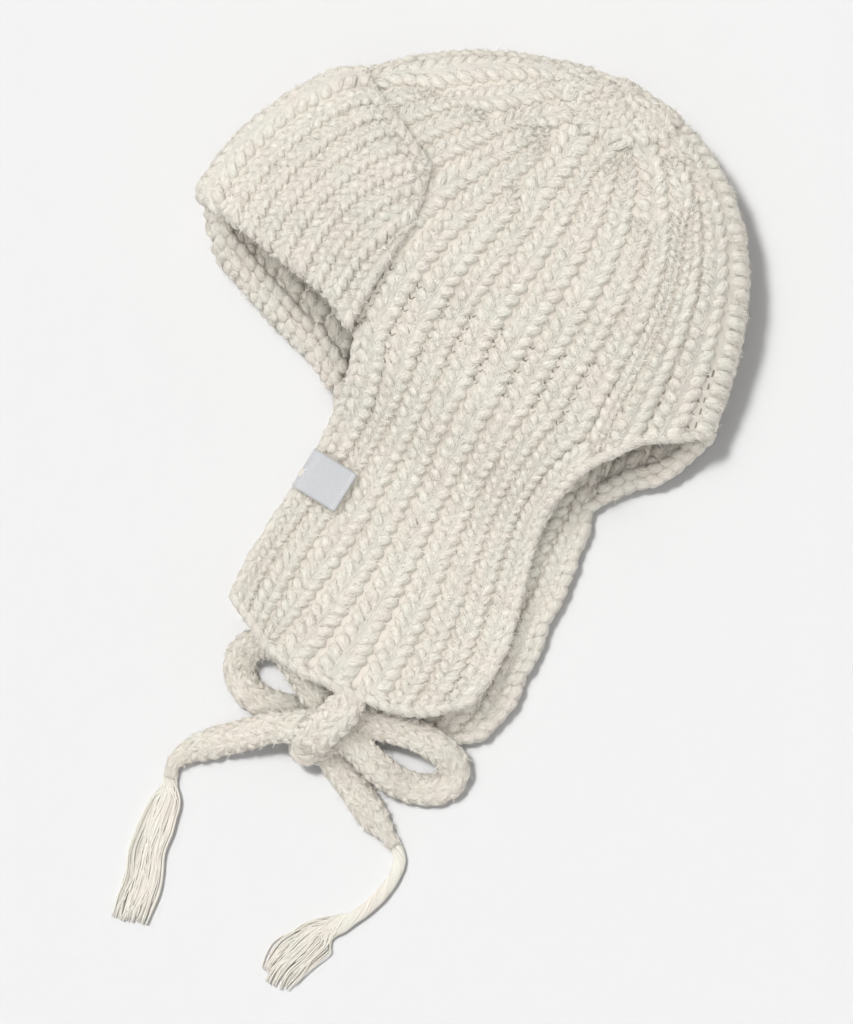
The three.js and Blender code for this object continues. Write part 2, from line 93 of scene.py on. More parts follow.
# Rib lines from the front centre to the back centre: the angle in degrees at which a line leaves the
# crown's top, its x at the brim as a share of the crown's width, its drop there as a share of the
# flap's length, the share of the way down the crown at which its groove begins (over 2: no groove),
# the line that it joins above that, and in the flap its x at three stations and its end.
RIB_COLUMNS = ("fan", "brim", "drop", "start", "joins", "ear", "flap", "end", "tip")
RIB_LINES = (
    (180, -0.605, -0.041, 9.0, 0, 0, 0, 0, 1),
    (187, -0.553, -0.021, 0.40, 2, 0, 0, 0, 1),
    (193, -0.5, -0.005, 0.08, 3, 0, 0, 0, 1),
    (200, -0.447, 0.015, 0.31, 4, 0, 0, 0, 1),
    (209, -0.39, 0.036, 0.08, 5, 0, 0, 0, 1),
    (220, -0.337, 0.057, 0.20, 6, 0, 0, 0, 1),
    (232, -0.272, 0.124, 0.05, 7, -0.243, -0.256, -0.281, 0.892),
    (243, -0.212, 0.134, 0.21, 6, -0.187, -0.213, -0.246, 0.925),
    (253, -0.149, 0.134, 0.36, 7, -0.147, -0.172, -0.203, 0.957),
    (263, -0.1, 0.134, 0.08, 10, -0.1, -0.113, -0.16, 0.98),
    (276, -0.041, 0.134, 0.16, 11, -0.049, -0.058, -0.087, 1),
    (292, 0.02, 0.134, 0.05, 12, 0.008, 0.002, -0.007, 1),
    (308, 0.077, 0.134, 0.14, 11, 0.057, 0.056, 0.058, 0.994),
    (320, 0.13, 0.134, 0.34, 12, 0.099, 0.1, 0.105, 0.985),
    (328, 0.19, 0.134, 0.06, 15, 0.142, 0.143, 0.149, 0.955),
    (335, 0.217, 0.19, 0.3, 16, 0.183, 0.186, 0.188, 0.895),
    (342, 0.274, 0.1, 0.17, 14, 0, 0, 0, 1),
    (351.5, 0.345, 0.045, 0.1, 18, 0, 0, 0, 1),
    (358, 0.385, 0.01, 9.0, 18, 0, 0, 0, 1),
)
RIB = {name: np.array([row[i] for row in RIB_LINES], float) for i, name in enumerate(RIB_COLUMNS)}
FLAP_STATIONS = (0.289, 0.572, 0.881)
BACK_REACH = 0.393  # how far the solids reach back from the crown's top, as a share of the width
FIRST_FLAP, LAST_FLAP = 6, 15
LAST_LINE = len(RIB_LINES) - 1
TURN = 2 * LAST_LINE

# The peak's side edge as a rib line's number, from the fold (0) to its free edge (1)
PEAK_SIDE = ((0.0, 5.85), (0.2, 5.9), (0.4, 5.9), (0.7, 5.75), (0.84, 5.4), (0.93, 5.0), (1.0, 4.4))
PEAK_TOP = 0.49

TIE_LINE = 11.05
TIE_WIDTH = 17.0
TIE_THICKNESS = 7.0

# The plan is drawn from the brim line; the frame says where the body lies
SHIFT = np.array([
    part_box("knitted_body")[1].x / MM - BACK_REACH * CROWN_WIDTH - WALL / 2,
    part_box("knitted_body")[1].y / MM - CROWN_HEIGHT - WALL / 2,
    0.0,
])


# Small helpers on arrays
def smooth(x):
    x = np.clip(x, 0, 1)
    return x * x * (3 - 2 * x)


def lerp(a, b, t):
    return a + (b - a) * t


def unit(v):
    return v / np.maximum(np.linalg.norm(v, axis=-1, keepdims=True), 1e-9)


def from_table(rows, at, ease=lambda share: share):
    at = np.asarray(at, float)
    keys = np.array([row[0] for row in rows])
    values = np.array([row[1] for row in rows])
    right = np.clip(np.searchsorted(keys, at), 1, len(rows) - 1)
    left = right - 1
    share = np.clip((at - keys[left]) / (keys[right] - keys[left]), 0, 1)
    return lerp(values[left], values[right], ease(share))


def rise_between(x, ends):
    """From 0 at the first end to 1 at the second."""
    return smooth((x - ends[0]) / (ends[1] - ends[0]))


def run_along(points):
    """How far along its line each point lies."""
    step = np.linalg.norm(np.diff(points, axis=-2), axis=-1)
    return np.concatenate([np.zeros((*step.shape[:-1], 1)), np.cumsum(step, axis=-1)], axis=-1)


def points_at(at, run, points):
    """Points of a line at chosen distances along it."""
    return np.stack([np.interp(at, run, points[:, i]) for i in range(3)], axis=-1)


def way_out(surface, u, v, height, reach=0.5):
    """The direction in which the height over a surface grows."""
    return unit(surface(u, v, height + reach) - surface(u, v, height - reach))


# The plan of the rib lines
TOP = np.array([0.0, CROWN_HEIGHT])
BRIM = np.stack([RIB["brim"] * CROWN_WIDTH, -RIB["drop"] * FLAP_LENGTH], axis=1)
SPAN = np.linalg.norm(BRIM - TOP, axis=1)[:, None]
FAN = np.radians(RIB["fan"])
LEAVE = TOP + FAN_REACH * SPAN * np.stack([np.cos(FAN), np.sin(FAN)], axis=1)
BEHIND = np.clip(np.arange(len(RIB_LINES)) / FACE_LINES, 0, 1)[:, None]
REACH = FACE_REACH + (BRIM_REACH - FACE_REACH) * BEHIND
MEET = BRIM + REACH * SPAN * np.array([0.0, 1.0])


def crown_plan(number, along):
    t = along[..., None]
    s = 1 - t
    return s**3 * TOP + 3 * s * s * t * LEAVE[number] + 3 * s * t * t * MEET[number] + t**3 * BRIM[number]


def flap_plan(number, along):
    drop = RIB["drop"][number]
    at = lerp(drop, RIB["tip"][number], along)
    stations = [drop] + [np.full_like(drop, station) for station in FLAP_STATIONS]
    values = [RIB[name][number] for name in ("brim", "ear", "flap", "end")]
    x = 0
    for i, own in enumerate(stations):
        term = values[i]
        for j, other in enumerate(stations):
            if j != i:
                term = term * (at - other) / (own - other)
        x = x + term
    return np.stack([x * CROWN_WIDTH, -at * FLAP_LENGTH], axis=-1)


def plan(line, along):
    left = np.clip(np.floor(line), 0, LAST_LINE - 1).astype(int)
    t = np.clip(along, 0, 1)
    crown = lerp(crown_plan(left, t), crown_plan(left + 1, t), (line - left)[..., None])
    left = np.clip(np.floor(line), FIRST_FLAP, LAST_FLAP - 1).astype(int)
    t = np.clip(along - 1, 0, 1)
    flap = lerp(flap_plan(left, t), flap_plan(left + 1, t), (line - left)[..., None])
    return np.where((along > 1)[..., None], flap, crown)


def wall_middle(around, along):
    """The middle of the knitted wall: near layer for around 0 to 18, far layer for 18 to 36."""
    around, along = np.broadcast_arrays(np.asarray(around, float), np.asarray(along, float))
    loop = np.mod(around, TURN)
    far = loop > LAST_LINE
    line = np.where(far, TURN - loop, loop)
    xy = plan(line, along)
    left = np.clip(np.floor(line), 0, LAST_LINE - 1).astype(int)
    brim_x = lerp(RIB["brim"][left], RIB["brim"][left + 1], line - left)
    front = RIB["brim"][0]
    across = np.abs(2 * (brim_x - front) / (RIB["brim"][LAST_LINE] - front) - 1)
    crown = np.clip(along, 0, 1)
    rise = 1 - crown
    depth = from_table(DEPTHS, along, smooth)
    ridge = WALL / 2 + RIDGE_SHARE * depth
    power = np.where(far, FAR_ROUND[0], NEAR_ROUND[0])
    climb = np.where(far, FAR_ROUND[1], NEAR_ROUND[1])
    full = np.sqrt(np.clip((1 - across**power) * (1 - rise**climb), 0, 1))
    lifted = smooth((FACE_LINES - line) / FACE_BLEND) * from_table(PEAK_LIFT, along, smooth)
    floor = WALL / 2 + (PEAK_WALL + PEAK_GAP) * lifted
    apart = (1 - across ** np.where(line < LAST_LINE / 2, *FAR_PARTING)) * crown**2
    slide = from_table(FAR_SLIDE, along, smooth) * apart
    slide = slide * np.clip((line - SLIDE_LINES[0]) / SLIDE_LINES[1], 0, 1)
    back = rise_between(line, FAR_BACK_LINES)
    slide = slide + np.where(along > 1, back * from_table(FAR_BACK, along, smooth), 0)
    front_ease = lerp(FACE_EASE, 1, rise_between(line, FACE_EASE_LINES))
    drop = FAR_DROP + FACE_DROP * smooth((FACE_LINES - line) / FACE_BLEND) * front_ease
    drop = drop + NAPE_DROP * rise_between(line, NAPE_LINES)
    tip_drop = FAR_TIP_DROP + FAR_BACK_DROP * back * rise_between(along, FAR_BACK_END)
    down = apart * lerp(drop, tip_drop, smooth(along - 1))
    x = xy[..., 0] + np.where(far, slide, 0)
    y = xy[..., 1] - np.where(far, down, 0)
    near_z = lerp(ridge, WALL / 2 + depth, full)
    far_z = lerp(ridge, floor, np.minimum(1, FAR_PRESS * full))
    return np.stack([x, y, np.where(far, far_z, near_z)], axis=-1) + SHIFT


STEP = 1e-3


def wall_normal(around, along):
    around, along = np.broadcast_arrays(np.asarray(around, float), np.asarray(along, float))
    loop = np.mod(around, TURN)
    line = np.where(loop > LAST_LINE, TURN - loop, loop)
    in_flap = along > 1
    low = np.where(loop > LAST_LINE, TURN - LAST_FLAP, FIRST_FLAP)
    high = np.where(loop > LAST_LINE, TURN - FIRST_FLAP, LAST_FLAP)
    left = np.where(in_flap, np.maximum(loop - STEP, low), loop - STEP)
    right = np.where(in_flap, np.minimum(loop + STEP, high), loop + STEP)
    flap_line = (line >= FIRST_FLAP) & (line <= LAST_FLAP)
    end = np.where(flap_line, 2.0, 1.0)
    lower = np.minimum(along + STEP, end)
    across_slope = wall_middle(right, along) - wall_middle(left, along)
    along_slope = wall_middle(loop, lower) - wall_middle(loop, along - STEP)
    return unit(np.cross(along_slope, across_slope))


def wall_surface(around, along, height):
    """A point at a height over the middle of the body's wall, outwards."""
    return wall_middle(around, along) + wall_normal(around, along) * np.asarray(height)[..., None]


# The peak's coordinate runs from minus its fold's turn, inside the fold, to 1 at its free edge
FOLD_TURN = 0.3
FOLD_BLEND = 0.15
SEAT = WALL / 2 + PEAK_GAP + PEAK_WALL / 2
PEAK_SETTLE = 4.8  # the peak's edges lie this much lower than its middle
SETTLE_SIDES = (0.82, 1.0)
SETTLE_EDGE = (0.84, 1.0)
SETTLE_FOLD = 0.12
RIDGE_SETTLE = 1.3
RIDGE_WIDTH = 0.3


def peak_surface(share, up, height):
    """A point over the middle of the peak's wall. share runs from the far side edge (-1) to the near one."""
    share, up = np.broadcast_arrays(np.asarray(share, float), np.asarray(up, float))
    height = np.asarray(height, float) + 0 * up
    face = np.clip(up, 0, 1)
    side = np.abs(share)
    around = share * from_table(PEAK_SIDE, face)
    along = lerp(1, PEAK_TOP, face)
    down = unit(wall_middle(around, 1.0) - wall_middle(around, 1 - STEP))
    turn = np.clip(-up / FOLD_TURN, 0, 1) * math.pi
    radius = SEAT / 2
    settle = PEAK_SETTLE * np.maximum(rise_between(side, SETTLE_SIDES), rise_between(up, SETTLE_EDGE))
    settle = np.maximum(settle, RIDGE_SETTLE * smooth(1 - side / RIDGE_WIDTH)) * smooth(face / SETTLE_FOLD)
    lift = np.where(up < 0, radius + (radius + height) * np.cos(turn), SEAT - settle + height)
    turned = PEAK_GAP + (radius + height) * np.sin(turn)
    reach = np.where(up < 0, turned, PEAK_GAP * (1 - smooth(up / FOLD_BLEND)))
    return wall_surface(around, along, lift) + down * reach[..., None]


# Meshes from arrays
LEAST_Z = 0.15
YARN_PLACES = 200.0  # each tube takes a place of its own within this much of the yarn's pattern


class Parts:
    """Gathers closed shells of four-sided faces and caps, and makes one mesh of them."""

    def __init__(self):
        self.points = []
        self.faces = []
        self.uv = []
        self.tone = []
        self.painted_light = []
        self.count = 0

    def add(self, points, faces, uv, tone, painted_light):
        flat = points.reshape(-1, 3)
        self.points.append(flat)
        self.faces += [group + self.count for group in faces]
        self.uv.append(uv.reshape(-1, 2))
        self.tone.append(np.broadcast_to(tone, points.shape[:-1]).reshape(-1))
        self.painted_light.append(np.broadcast_to(painted_light, points.shape[:-1]).reshape(-1))
        self.count += len(flat)

    def tubes(self, rings, painted_light, tone=None):
        """Closed tubes from rings of points: (tube, ring, side, 3). Without a tone, each gets its own."""
        tubes, steps, sides, _ = rings.shape
        if tone is None:
            tone = RANDOM.uniform(0, 1, (tubes, 1, 1))
        base = (np.arange(tubes) * steps * sides)[:, None, None]
        ring = (np.arange(steps - 1) * sides)[None, :, None]
        side = np.arange(sides)[None, None, :]
        a = base + ring + side
        b = base + ring + (side + 1) % sides
        quads = np.stack([a, b, b + sides, a + sides], axis=-1).reshape(-1, 4)
        start = (base[:, :, 0] + np.arange(sides)[::-1][None, :]).reshape(-1, sides)
        end = (base[:, :, 0] + (steps - 1) * sides + np.arange(sides)[None, :]).reshape(-1, sides)
        run = run_along(rings.mean(axis=2))
        girth = np.linalg.norm(np.roll(rings, -1, axis=2) - rings, axis=-1).sum(axis=2)
        place = RANDOM.uniform(0, YARN_PLACES, (tubes, 1, 1, 2))
        u = np.broadcast_to(run[:, :, None], rings.shape[:3])
        v = girth[:, :, None] * (np.arange(sides) / sides)[None, None, :]
        self.add(rings, (quads, np.concatenate([start, end])), np.stack([u, v], axis=-1) + place, tone, painted_light)

    def object(self, name, material):
        points = np.concatenate(self.points)
        points[:, 2] = np.maximum(points[:, 2], LEAST_Z)
        groups = self.faces
        sizes = np.concatenate([np.full(len(g), g.shape[1]) for g in groups])
        corners = np.concatenate([g.reshape(-1) for g in groups])
        starts = np.concatenate([[0], np.cumsum(sizes)[:-1]])
        mesh = bpy.data.meshes.new(name)
        mesh.vertices.add(len(points))
        mesh.vertices.foreach_set("co", (points * MM).astype(np.float32).reshape(-1))
        mesh.loops.add(len(corners))
        mesh.loops.foreach_set("vertex_index", corners.astype(np.int32))
        mesh.polygons.add(len(sizes))
        mesh.polygons.foreach_set("loop_start", starts.astype(np.int32))
        mesh.polygons.foreach_set("use_smooth", np.ones(len(sizes), bool))
        mesh.update(calc_edges=True)
        layer = mesh.uv_layers.new(name="yarn")
        layer.data.foreach_set("uv", np.concatenate(self.uv)[corners].astype(np.float32).reshape(-1))
        # This attribute carries painted shade: at 1 a point keeps the yarn's own colour, at 0 it takes the
        # darker painted groove shade colour
        for label, values in (("tone", self.tone), ("painted_light", self.painted_light)):
            attribute = mesh.attributes.new(label, "FLOAT", "POINT")
            attribute.data.foreach_set("value", np.concatenate(values).astype(np.float32))
        mesh.validate()
        mesh.materials.append(material)
        made = bpy.data.objects.new(name, mesh)
        bpy.context.scene.collection.objects.link(made)
        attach(made, "root")
        return made


def rings_round(centre, across, outward, sides):
    """Rings of points: centres (n, rings, 3) with two half-axes of the same shape."""
    angle = (np.arange(sides) + 0.5) / sides * 2 * math.pi
    cos = np.cos(angle)[None, None, :, None]
    sin = np.sin(angle)[None, None, :, None]
    return centre[:, :, None] + cos * across[:, :, None] + sin * outward[:, :, None]


# Painted shade inside the hat: its colour is plain at its edge and darkened further in
INNER_PAINTED_LIGHT = (0.82, 0.99)


def inner_painted_light(along):
    return rise_between(along, INNER_PAINTED_LIGHT)


# One leg of a knit stitch: its way out from the rib's middle, its way along the rib, its height and
# its girth, as shares of half the rib, the pitch, the lobe's height and its radius
LEG_ACROSS = np.array([0.05, 0.15, 0.34, 0.56, 0.76, 0.91])
LEG_ALONG = np.array([-0.5, -0.42, -0.22, 0.06, 0.28, 0.42])
LEG_HEIGHT = np.array([-0.35, 0.45, 1.0, 1.0, 0.6, -0.5])
LEG_GIRTH = np.array([0.5, 0.86, 1.0, 1.04, 0.92, 0.55])
LEG_SIDES = 7
LEG_RISE = 1.75
LEG_THICK = 2.0
# How much legs differ in their way out, their way along, their height, their breadth and their thickness
LEG_JITTER = np.array([0.04, 0.05, 0.1, 0.06, 0.06])[:, None, None]
# Painted shade for each ring of a leg: darker where the leg dips into a groove
LEG_SHADE = smooth((LEG_HEIGHT + 0.4) / 1.2)  # 0 down in a groove and 1 on the rib
LOBE_OVERLAP = 0.6
USUAL_RIB = 15.0
USUAL_PITCH = 6.5
THINNING = 0.6  # the power by which smaller stitches are thinner
WIDTH_SHARES = np.linspace(0, 1, 13)


def shares_across(surface, left, right, place):
    """For each row, a rib's coordinate at even shares of its true width."""
    u = left[:, None] + (right - left)[:, None] * WIDTH_SHARES
    v = np.broadcast_to(place[:, None], u.shape)
    run = run_along(surface(u, v, np.zeros(u.shape)))
    run = run / np.maximum(run[:, -1:], 1e-9)

    def at(wanted):
        return np.stack([np.interp(w, r, row) for w, r, row in zip(wanted, run, u)])

    return at


def v_stitches(parts, surface, bounds, rows, ends, face=1.0, sides=LEG_SIDES, rise=LEG_RISE, thick=LEG_THICK):
    """Stitches of a rib. A row holds its coordinate along the rib, how that changes for each millimetre
    towards the open end of the V, the pitch and the width. face is 1 outside and -1 inside."""
    place, per_mm, pitch, width = rows.T
    left, right = (edge(place) for edge in bounds)
    across_at = shares_across(surface, left, right, place)
    scale = np.minimum(width / USUAL_RIB, pitch / USUAL_PITCH)[:, None]
    slant = np.arctan2((LEG_ALONG[-1] - LEG_ALONG[0]) * pitch, LEG_ACROSS[-1] * width / 2)
    packed = []
    for side in (-1.0, 1.0):
        jitter = LEG_JITTER * RANDOM.normal(0, 1, (len(LEG_JITTER), len(rows), 1))
        u = across_at(0.5 + side * 0.5 * (LEG_ACROSS * (1 + jitter[0])))
        v = place[:, None] + (per_mm * pitch)[:, None] * (LEG_ALONG + jitter[1])
        v = np.clip(v, *ends)
        height = face * (LEG_HEIGHT * (rise * (1 + jitter[2])))
        centre = surface(u, v, height)
        outward = way_out(surface, u, v, height, face * 0.4)
        tangent = unit(np.gradient(centre, axis=1))
        across = unit(np.cross(outward, tangent)) * side * face
        broad = LEG_GIRTH * (LOBE_OVERLAP * pitch * np.cos(slant))[:, None] * (1 + jitter[3])
        tall = LEG_GIRTH * thick * scale**THINNING * (1 + jitter[4])
        rings = rings_round(centre, across * broad[..., None], outward * tall[..., None], sides)
        if side * face > 0:
            rings = rings[:, :, ::-1]
        painted_light = np.broadcast_to(LEG_SHADE[None, :, None], rings.shape[:3])
        if face < 0:
            # Inside the hat the stitches get painted shade that deepens further in
            painted_light = painted_light * inner_painted_light(v)[..., None]
        parts.tubes(rings, painted_light)
        packed.append((rings, centre, outward))
    return packed


# The plump body of a rib, across it and back underneath
CORE_SHARES = np.array([0.03, 0.12, 0.27, 0.42, 0.5, 0.58, 0.73, 0.88, 0.97, 0.9, 0.5, 0.1])
CORE_HEIGHTS = np.array([0.5, 1.7, 2.6, 2.7, 2.5, 2.7, 2.6, 1.7, 0.5, -0.6, -0.6, -0.6])
# Painted shade across a rib's body: darker low at its sides and underneath
CORE_SHADE = smooth((CORE_HEIGHTS - 0.4) / 2.2)
CORE_ROWS = 45
CORE_LEAST = 2.0  # narrower ribs have no body
CORE_FULL = 12.0  # narrower ones have a lower one
CORE_LOWEST = 0.3


def rib_core(parts, surface, bounds, start, end, face):
    v = np.linspace(start, end, max(8, int(abs(end - start) * CORE_ROWS)))
    low, high = (edge(v) for edge in bounds)
    span = surface(high, v, np.zeros(len(v))) - surface(low, v, np.zeros(len(v)))
    wide = np.linalg.norm(span, axis=1)
    keep = wide > CORE_LEAST
    if keep.sum() < 3:
        return
    v, low, high, wide = v[keep], low[keep], high[keep], wide[keep]
    across_at = shares_across(surface, low, high, v)
    u = across_at(np.broadcast_to(CORE_SHARES, (len(v), len(CORE_SHARES))))
    tall = np.clip(wide / CORE_FULL, CORE_LOWEST, 1)[:, None] ** 0.5
    height = face * CORE_HEIGHTS * np.where(CORE_HEIGHTS > 0, tall, 1)
    rings = surface(u, np.broadcast_to(v[:, None], u.shape), height)
    shade = CORE_SHADE[None, :] + 0 * u
    if face < 0:
        # Inside the hat the rib's body gets painted shade that deepens further in
        shade = shade * inner_painted_light(v)[:, None]
    if face * (end - start) > 0:
        rings, shade = rings[:, ::-1], shade[:, ::-1]
    parts.tubes(rings[None], shade[None], 0.5)


MARCH_SAMPLES = 160
NARROW_PITCH = 4.0
WIDE_PITCH = 6.9
PITCH_SHARE = 0.46  # of the rib's width
FIRST_STITCH = 0.35  # of the widest pitch


def march(surface, bounds, start, end, widest, share):
    """Rows of stitches along a rib from start to end, as v_stitches takes them."""
    v = np.linspace(start, end, MARCH_SAMPLES)
    low, high = (edge(v) for edge in bounds)
    zero = np.zeros(MARCH_SAMPLES)
    middle = surface((low + high) / 2, v, zero)
    run = run_along(middle)
    quarter = (high - low) / 2
    edge_a = surface((low + high) / 2 - quarter, v, zero)
    edge_b = surface((low + high) / 2 + quarter, v, zero)
    width = np.linalg.norm(edge_a - middle, axis=1) + np.linalg.norm(edge_b - middle, axis=1)
    per_mm = (end - start) / max(run[-1], 1e-6)
    rows = []
    at = FIRST_STITCH * widest
    while at < run[-1] - 1.0:
        here = np.interp(at, run, v)
        wide = np.interp(at, run, width)
        pitch = float(np.clip(share * wide, NARROW_PITCH, widest))
        slope = np.interp(at + 1, run, v) - here if at + 1 < run[-1] else per_mm
        rows.append((here, slope, pitch, wide))
        at += pitch
    return np.array(rows).reshape(-1, 4)


LEAST_WIDTH = 2.6


def knit_rib(parts, surface, bounds, stretch, core, ends, face=1.0, sides=LEG_SIDES,
             widest=WIDE_PITCH, share=PITCH_SHARE, until=None):
    """One rib: its body, and its stitches where it is wide enough, until a share if one is given."""
    rows = march(surface, bounds, *stretch, widest, share)
    rows = rows[rows[:, 3] > LEAST_WIDTH]
    if not len(rows):
        return []
    rib_core(parts, surface, bounds, *core, face)
    if until:
        rows = rows[rows[:, 0] < until]
    return v_stitches(parts, surface, bounds, rows, ends, face, sides) if len(rows) else []


# The ribs of the body
GROOVE_BLEND = 0.1
STRAIGHT_LINES = (2, 4, 6, 9, 11, 14, 17)  # these keep their number up to the crown's top
POLE_END = 0.05
HIDDEN_FROM = 1.04  # inside the flaps, from this share on, plain ribs without stitches are enough
STITCH_END = 0.004  # the stitches stop this short of a rib's end
BODY_END = 0.002  # and the rib's body this short of it
RIB_LOW = 0.012
PAST_LAST = LAST_LINE + 1


def groove_place(line, along):
    """Where a groove runs, as a rib line's number: above its start it has joined its neighbour."""
    start = RIB["start"][line]
    if line in STRAIGHT_LINES or start > 2:
        return np.full_like(along, line)
    joined = int(RIB["joins"][line])
    target = groove_place(joined, along) if RIB["start"][joined] < start else np.full_like(along, joined)
    open_share = smooth((along - start + GROOVE_BLEND / 2) / GROOVE_BLEND)
    return lerp(target, float(line), open_share)


def body_ribs():
    """Pairs of groove lines, with the end of the stretch of crown and flap that each rib runs over."""
    ribs = [(-1, 0, 1.0), (0, 1, 1.0)]
    for a in range(1, LAST_LINE - 1):
        in_flap = a >= FIRST_FLAP and a + 1 < LAST_FLAP
        ribs.append((a, a + 1, 2.0 if in_flap else 1.0))
    return ribs + [(LAST_LINE - 1, PAST_LAST, 1.0)]


def rib_bounds(a, b, far):
    """Left and right edges of a rib in the coordinate that runs round the body."""
    def near_place(line, v):
        if line == 0:
            return np.zeros_like(v)
        if line < 0:
            return -groove_place(1, v)
        if line == PAST_LAST:
            return TURN - groove_place(LAST_LINE - 1, v)
        return groove_place(line, v)

    if not far:
        return (lambda v: near_place(a, v)), (lambda v: near_place(b, v))
    return (lambda v: TURN - near_place(b, v)), (lambda v: TURN - near_place(a, v))


def knit_ribs(parts, far, face, top, sides, hidden=(), widest=WIDE_PITCH):
    packed = []
    for a, b, end in body_ribs():
        if far and (a <= 0 or b == PAST_LAST):
            continue
        until = HIDDEN_FROM if hidden and a >= hidden[0] and b <= hidden[1] else None
        packed += knit_rib(
            parts, wall_surface, rib_bounds(a, b, far), (end - STITCH_END, top),
            (end - BODY_END, top), (RIB_LOW, end), face, sides, widest, until=until,
        )
    # The flap's last rib, which the crown's lines don't lead into
    first, last = (TURN - LAST_FLAP, TURN - LAST_FLAP + 1) if far else (LAST_FLAP - 1, LAST_FLAP)
    bounds = (lambda v: np.full_like(v, first)), (lambda v: np.full_like(v, last))
    return packed + knit_rib(
        parts, wall_surface, bounds, (2.0 - STITCH_END, 1.02), (2.0 - STITCH_END, 1.01), (1.0, 2.0),
        face, sides, widest,
    )


CORE = 2.4  # thickness of the sheet under the stitches
# The sheet under the stitches is painted mostly in the darker groove shade colour
SHEET_PAINTED_LIGHT = 0.15


def sheet_between(parts, surface, u, v, thickness=CORE, closed=False):
    """A closed slab of even thickness over a grid of the surface's coordinates."""
    grid_u, grid_v = np.meshgrid(u, v, indexing="ij")
    shells = [surface(grid_u, grid_v, np.full(grid_u.shape, side * thickness / 2)) for side in (1, -1)]
    columns, rows = grid_u.shape
    count = columns * rows
    index = np.arange(count).reshape(columns, rows)
    after = np.roll(index, -1, axis=0)
    span = columns if closed else columns - 1
    a, b = index[:span, :-1], after[:span, :-1]
    c, d = after[:span, 1:], index[:span, 1:]
    outer = np.stack([a, d, c, b], axis=-1).reshape(-1, 4)
    inner = np.stack([a, b, c, d], axis=-1).reshape(-1, 4) + count

    def rim(first, second):
        return np.stack([first, second, second + count, first + count], axis=-1)

    rims = [rim(index[:span, 0], after[:span, 0]), rim(after[:span, -1], index[:span, -1])]
    if not closed:
        rims += [rim(index[0, 1:], index[0, :-1]), rim(index[-1, :-1], index[-1, 1:])]
    points = np.concatenate([shell.reshape(-1, 3) for shell in shells])
    quads = np.concatenate([outer, inner] + rims)
    parts.add(points, (quads,), np.zeros((len(points), 2)), 0.5, SHEET_PAINTED_LIGHT)


# One loop of an edge's chain
LOOP_REACH = 0.62
LOOP_STRETCH = 1.15
LOOP_ARCH = 0.7
LOOP_GIRTH = np.array([0.5, 0.88, 1.0, 1.0, 0.88, 0.5])
LOOP_WOBBLE = 0.25
LOOP_PLUMP = 0.24
# An edge's loops take a little of the painted groove shade colour all over
LOOP_PAINTED_LIGHT = 0.8


def edge_chain(parts, points, normals, radius=2.9, pitch=6.2, slant=0.3, rise=0.9):
    """A chain of plump loops along an edge: points along it, with the wall's outward normals."""
    run = run_along(points)
    count = max(2, int(run[-1] / pitch))
    centres = (np.arange(count) + 0.5) * run[-1] / count
    share = np.linspace(-LOOP_REACH, LOOP_REACH, len(LOOP_GIRTH))
    at = np.clip(centres[:, None] + share[None, :] * pitch * LOOP_STRETCH, 0, run[-1])
    base = points_at(at, run, points)
    normal = unit(points_at(at, run, normals))
    tangent = unit(points_at(at + 0.5, run, points) - points_at(at - 0.5, run, points))
    beside = unit(np.cross(tangent, normal))
    arch = (1 - (share / LOOP_REACH) ** 2)[None, :, None] - 0.5
    packed = []
    for level in (-1.0, 1.0):
        wobble = RANDOM.normal(0, LOOP_WOBBLE, (3, count, 1, 1))
        lean = share[None, :, None] * slant * pitch * level
        centre = base + normal * (level * rise + wobble[0]) + beside * (lean + wobble[1])
        centre = centre + normal * (level * LOOP_ARCH * arch)
        along = unit(np.gradient(centre, axis=1))
        across = unit(np.cross(normal, along))
        outward = unit(np.cross(along, across))
        size = radius * (1 + LOOP_PLUMP * wobble[2]) * LOOP_GIRTH[None, :, None]
        rings = rings_round(centre, across * size, outward * size, LEG_SIDES)
        parts.tubes(rings, LOOP_PAINTED_LIGHT)
        packed.append((rings, centre, outward * level))
    return packed


def polyline(surface, stretches, samples=60):
    """Points and normals along an edge, from stretches of the surface's coordinates."""
    points, normals = [], []
    zero = np.zeros(samples)
    for (u0, v0), (u1, v1) in stretches:
        share = np.linspace(0, 1, samples)
        u, v = lerp(u0, u1, share), lerp(v0, v1, share)
        points.append(surface(u, v, zero))
        normals.append(way_out(surface, u, v, zero))
    return np.concatenate(points), np.concatenate(normals)


# Fuzz: fine fibres that stand off the yarn
FIBRE_WIDTH = 0.38
FIBRE_LENGTH = 3.0
FIBRE_LIFT = 0.2
FIBRE_WILD = 0.9
FIBRE_TIP = 0.4  # the width of its tip, as a share of its root's
STRAY_WIDTH = 0.16
STRAY_LENGTH = 5.0
STRAY_LIFT = 0.8
STRAY_WILD = 0.75
STRAY_BEND = 0.8


def fibre_roots(packed, count):
    """Points on the outward half of given tubes, with the way out and the tube's own direction."""
    rings = [r for r, _, _ in packed]
    weights = np.array([len(r) for r in rings], float)
    picks = RANDOM.choice(len(rings), count, p=weights / weights.sum())
    roots, outs, tangents = [], [], []
    for i, (ring, centre, outward) in enumerate(packed):
        own = int((picks == i).sum())
        if not own:
            continue
        tube = RANDOM.integers(0, ring.shape[0], own)
        step = RANDOM.integers(1, ring.shape[1] - 1, own)
        side = RANDOM.integers(0, ring.shape[2], own)
        slip = RANDOM.uniform(0, 1, (own, 1))
        turn = RANDOM.uniform(0, 1, (own, 1))
        after = (side + 1) % ring.shape[2]
        near = lerp(ring[tube, step, side], ring[tube, step, after], turn)
        past = lerp(ring[tube, step + 1, side], ring[tube, step + 1, after], turn)
        root = lerp(near, past, slip)
        out = unit(root - lerp(centre[tube, step], centre[tube, step + 1], slip))
        facing = (out * outward[tube, step]).sum(axis=1) > 0.05
        roots.append(root[facing])
        outs.append(out[facing])
        tangents.append(unit(centre[tube, step + 1] - centre[tube, step - 1])[facing])
    return (np.concatenate(x) for x in (roots, outs, tangents))


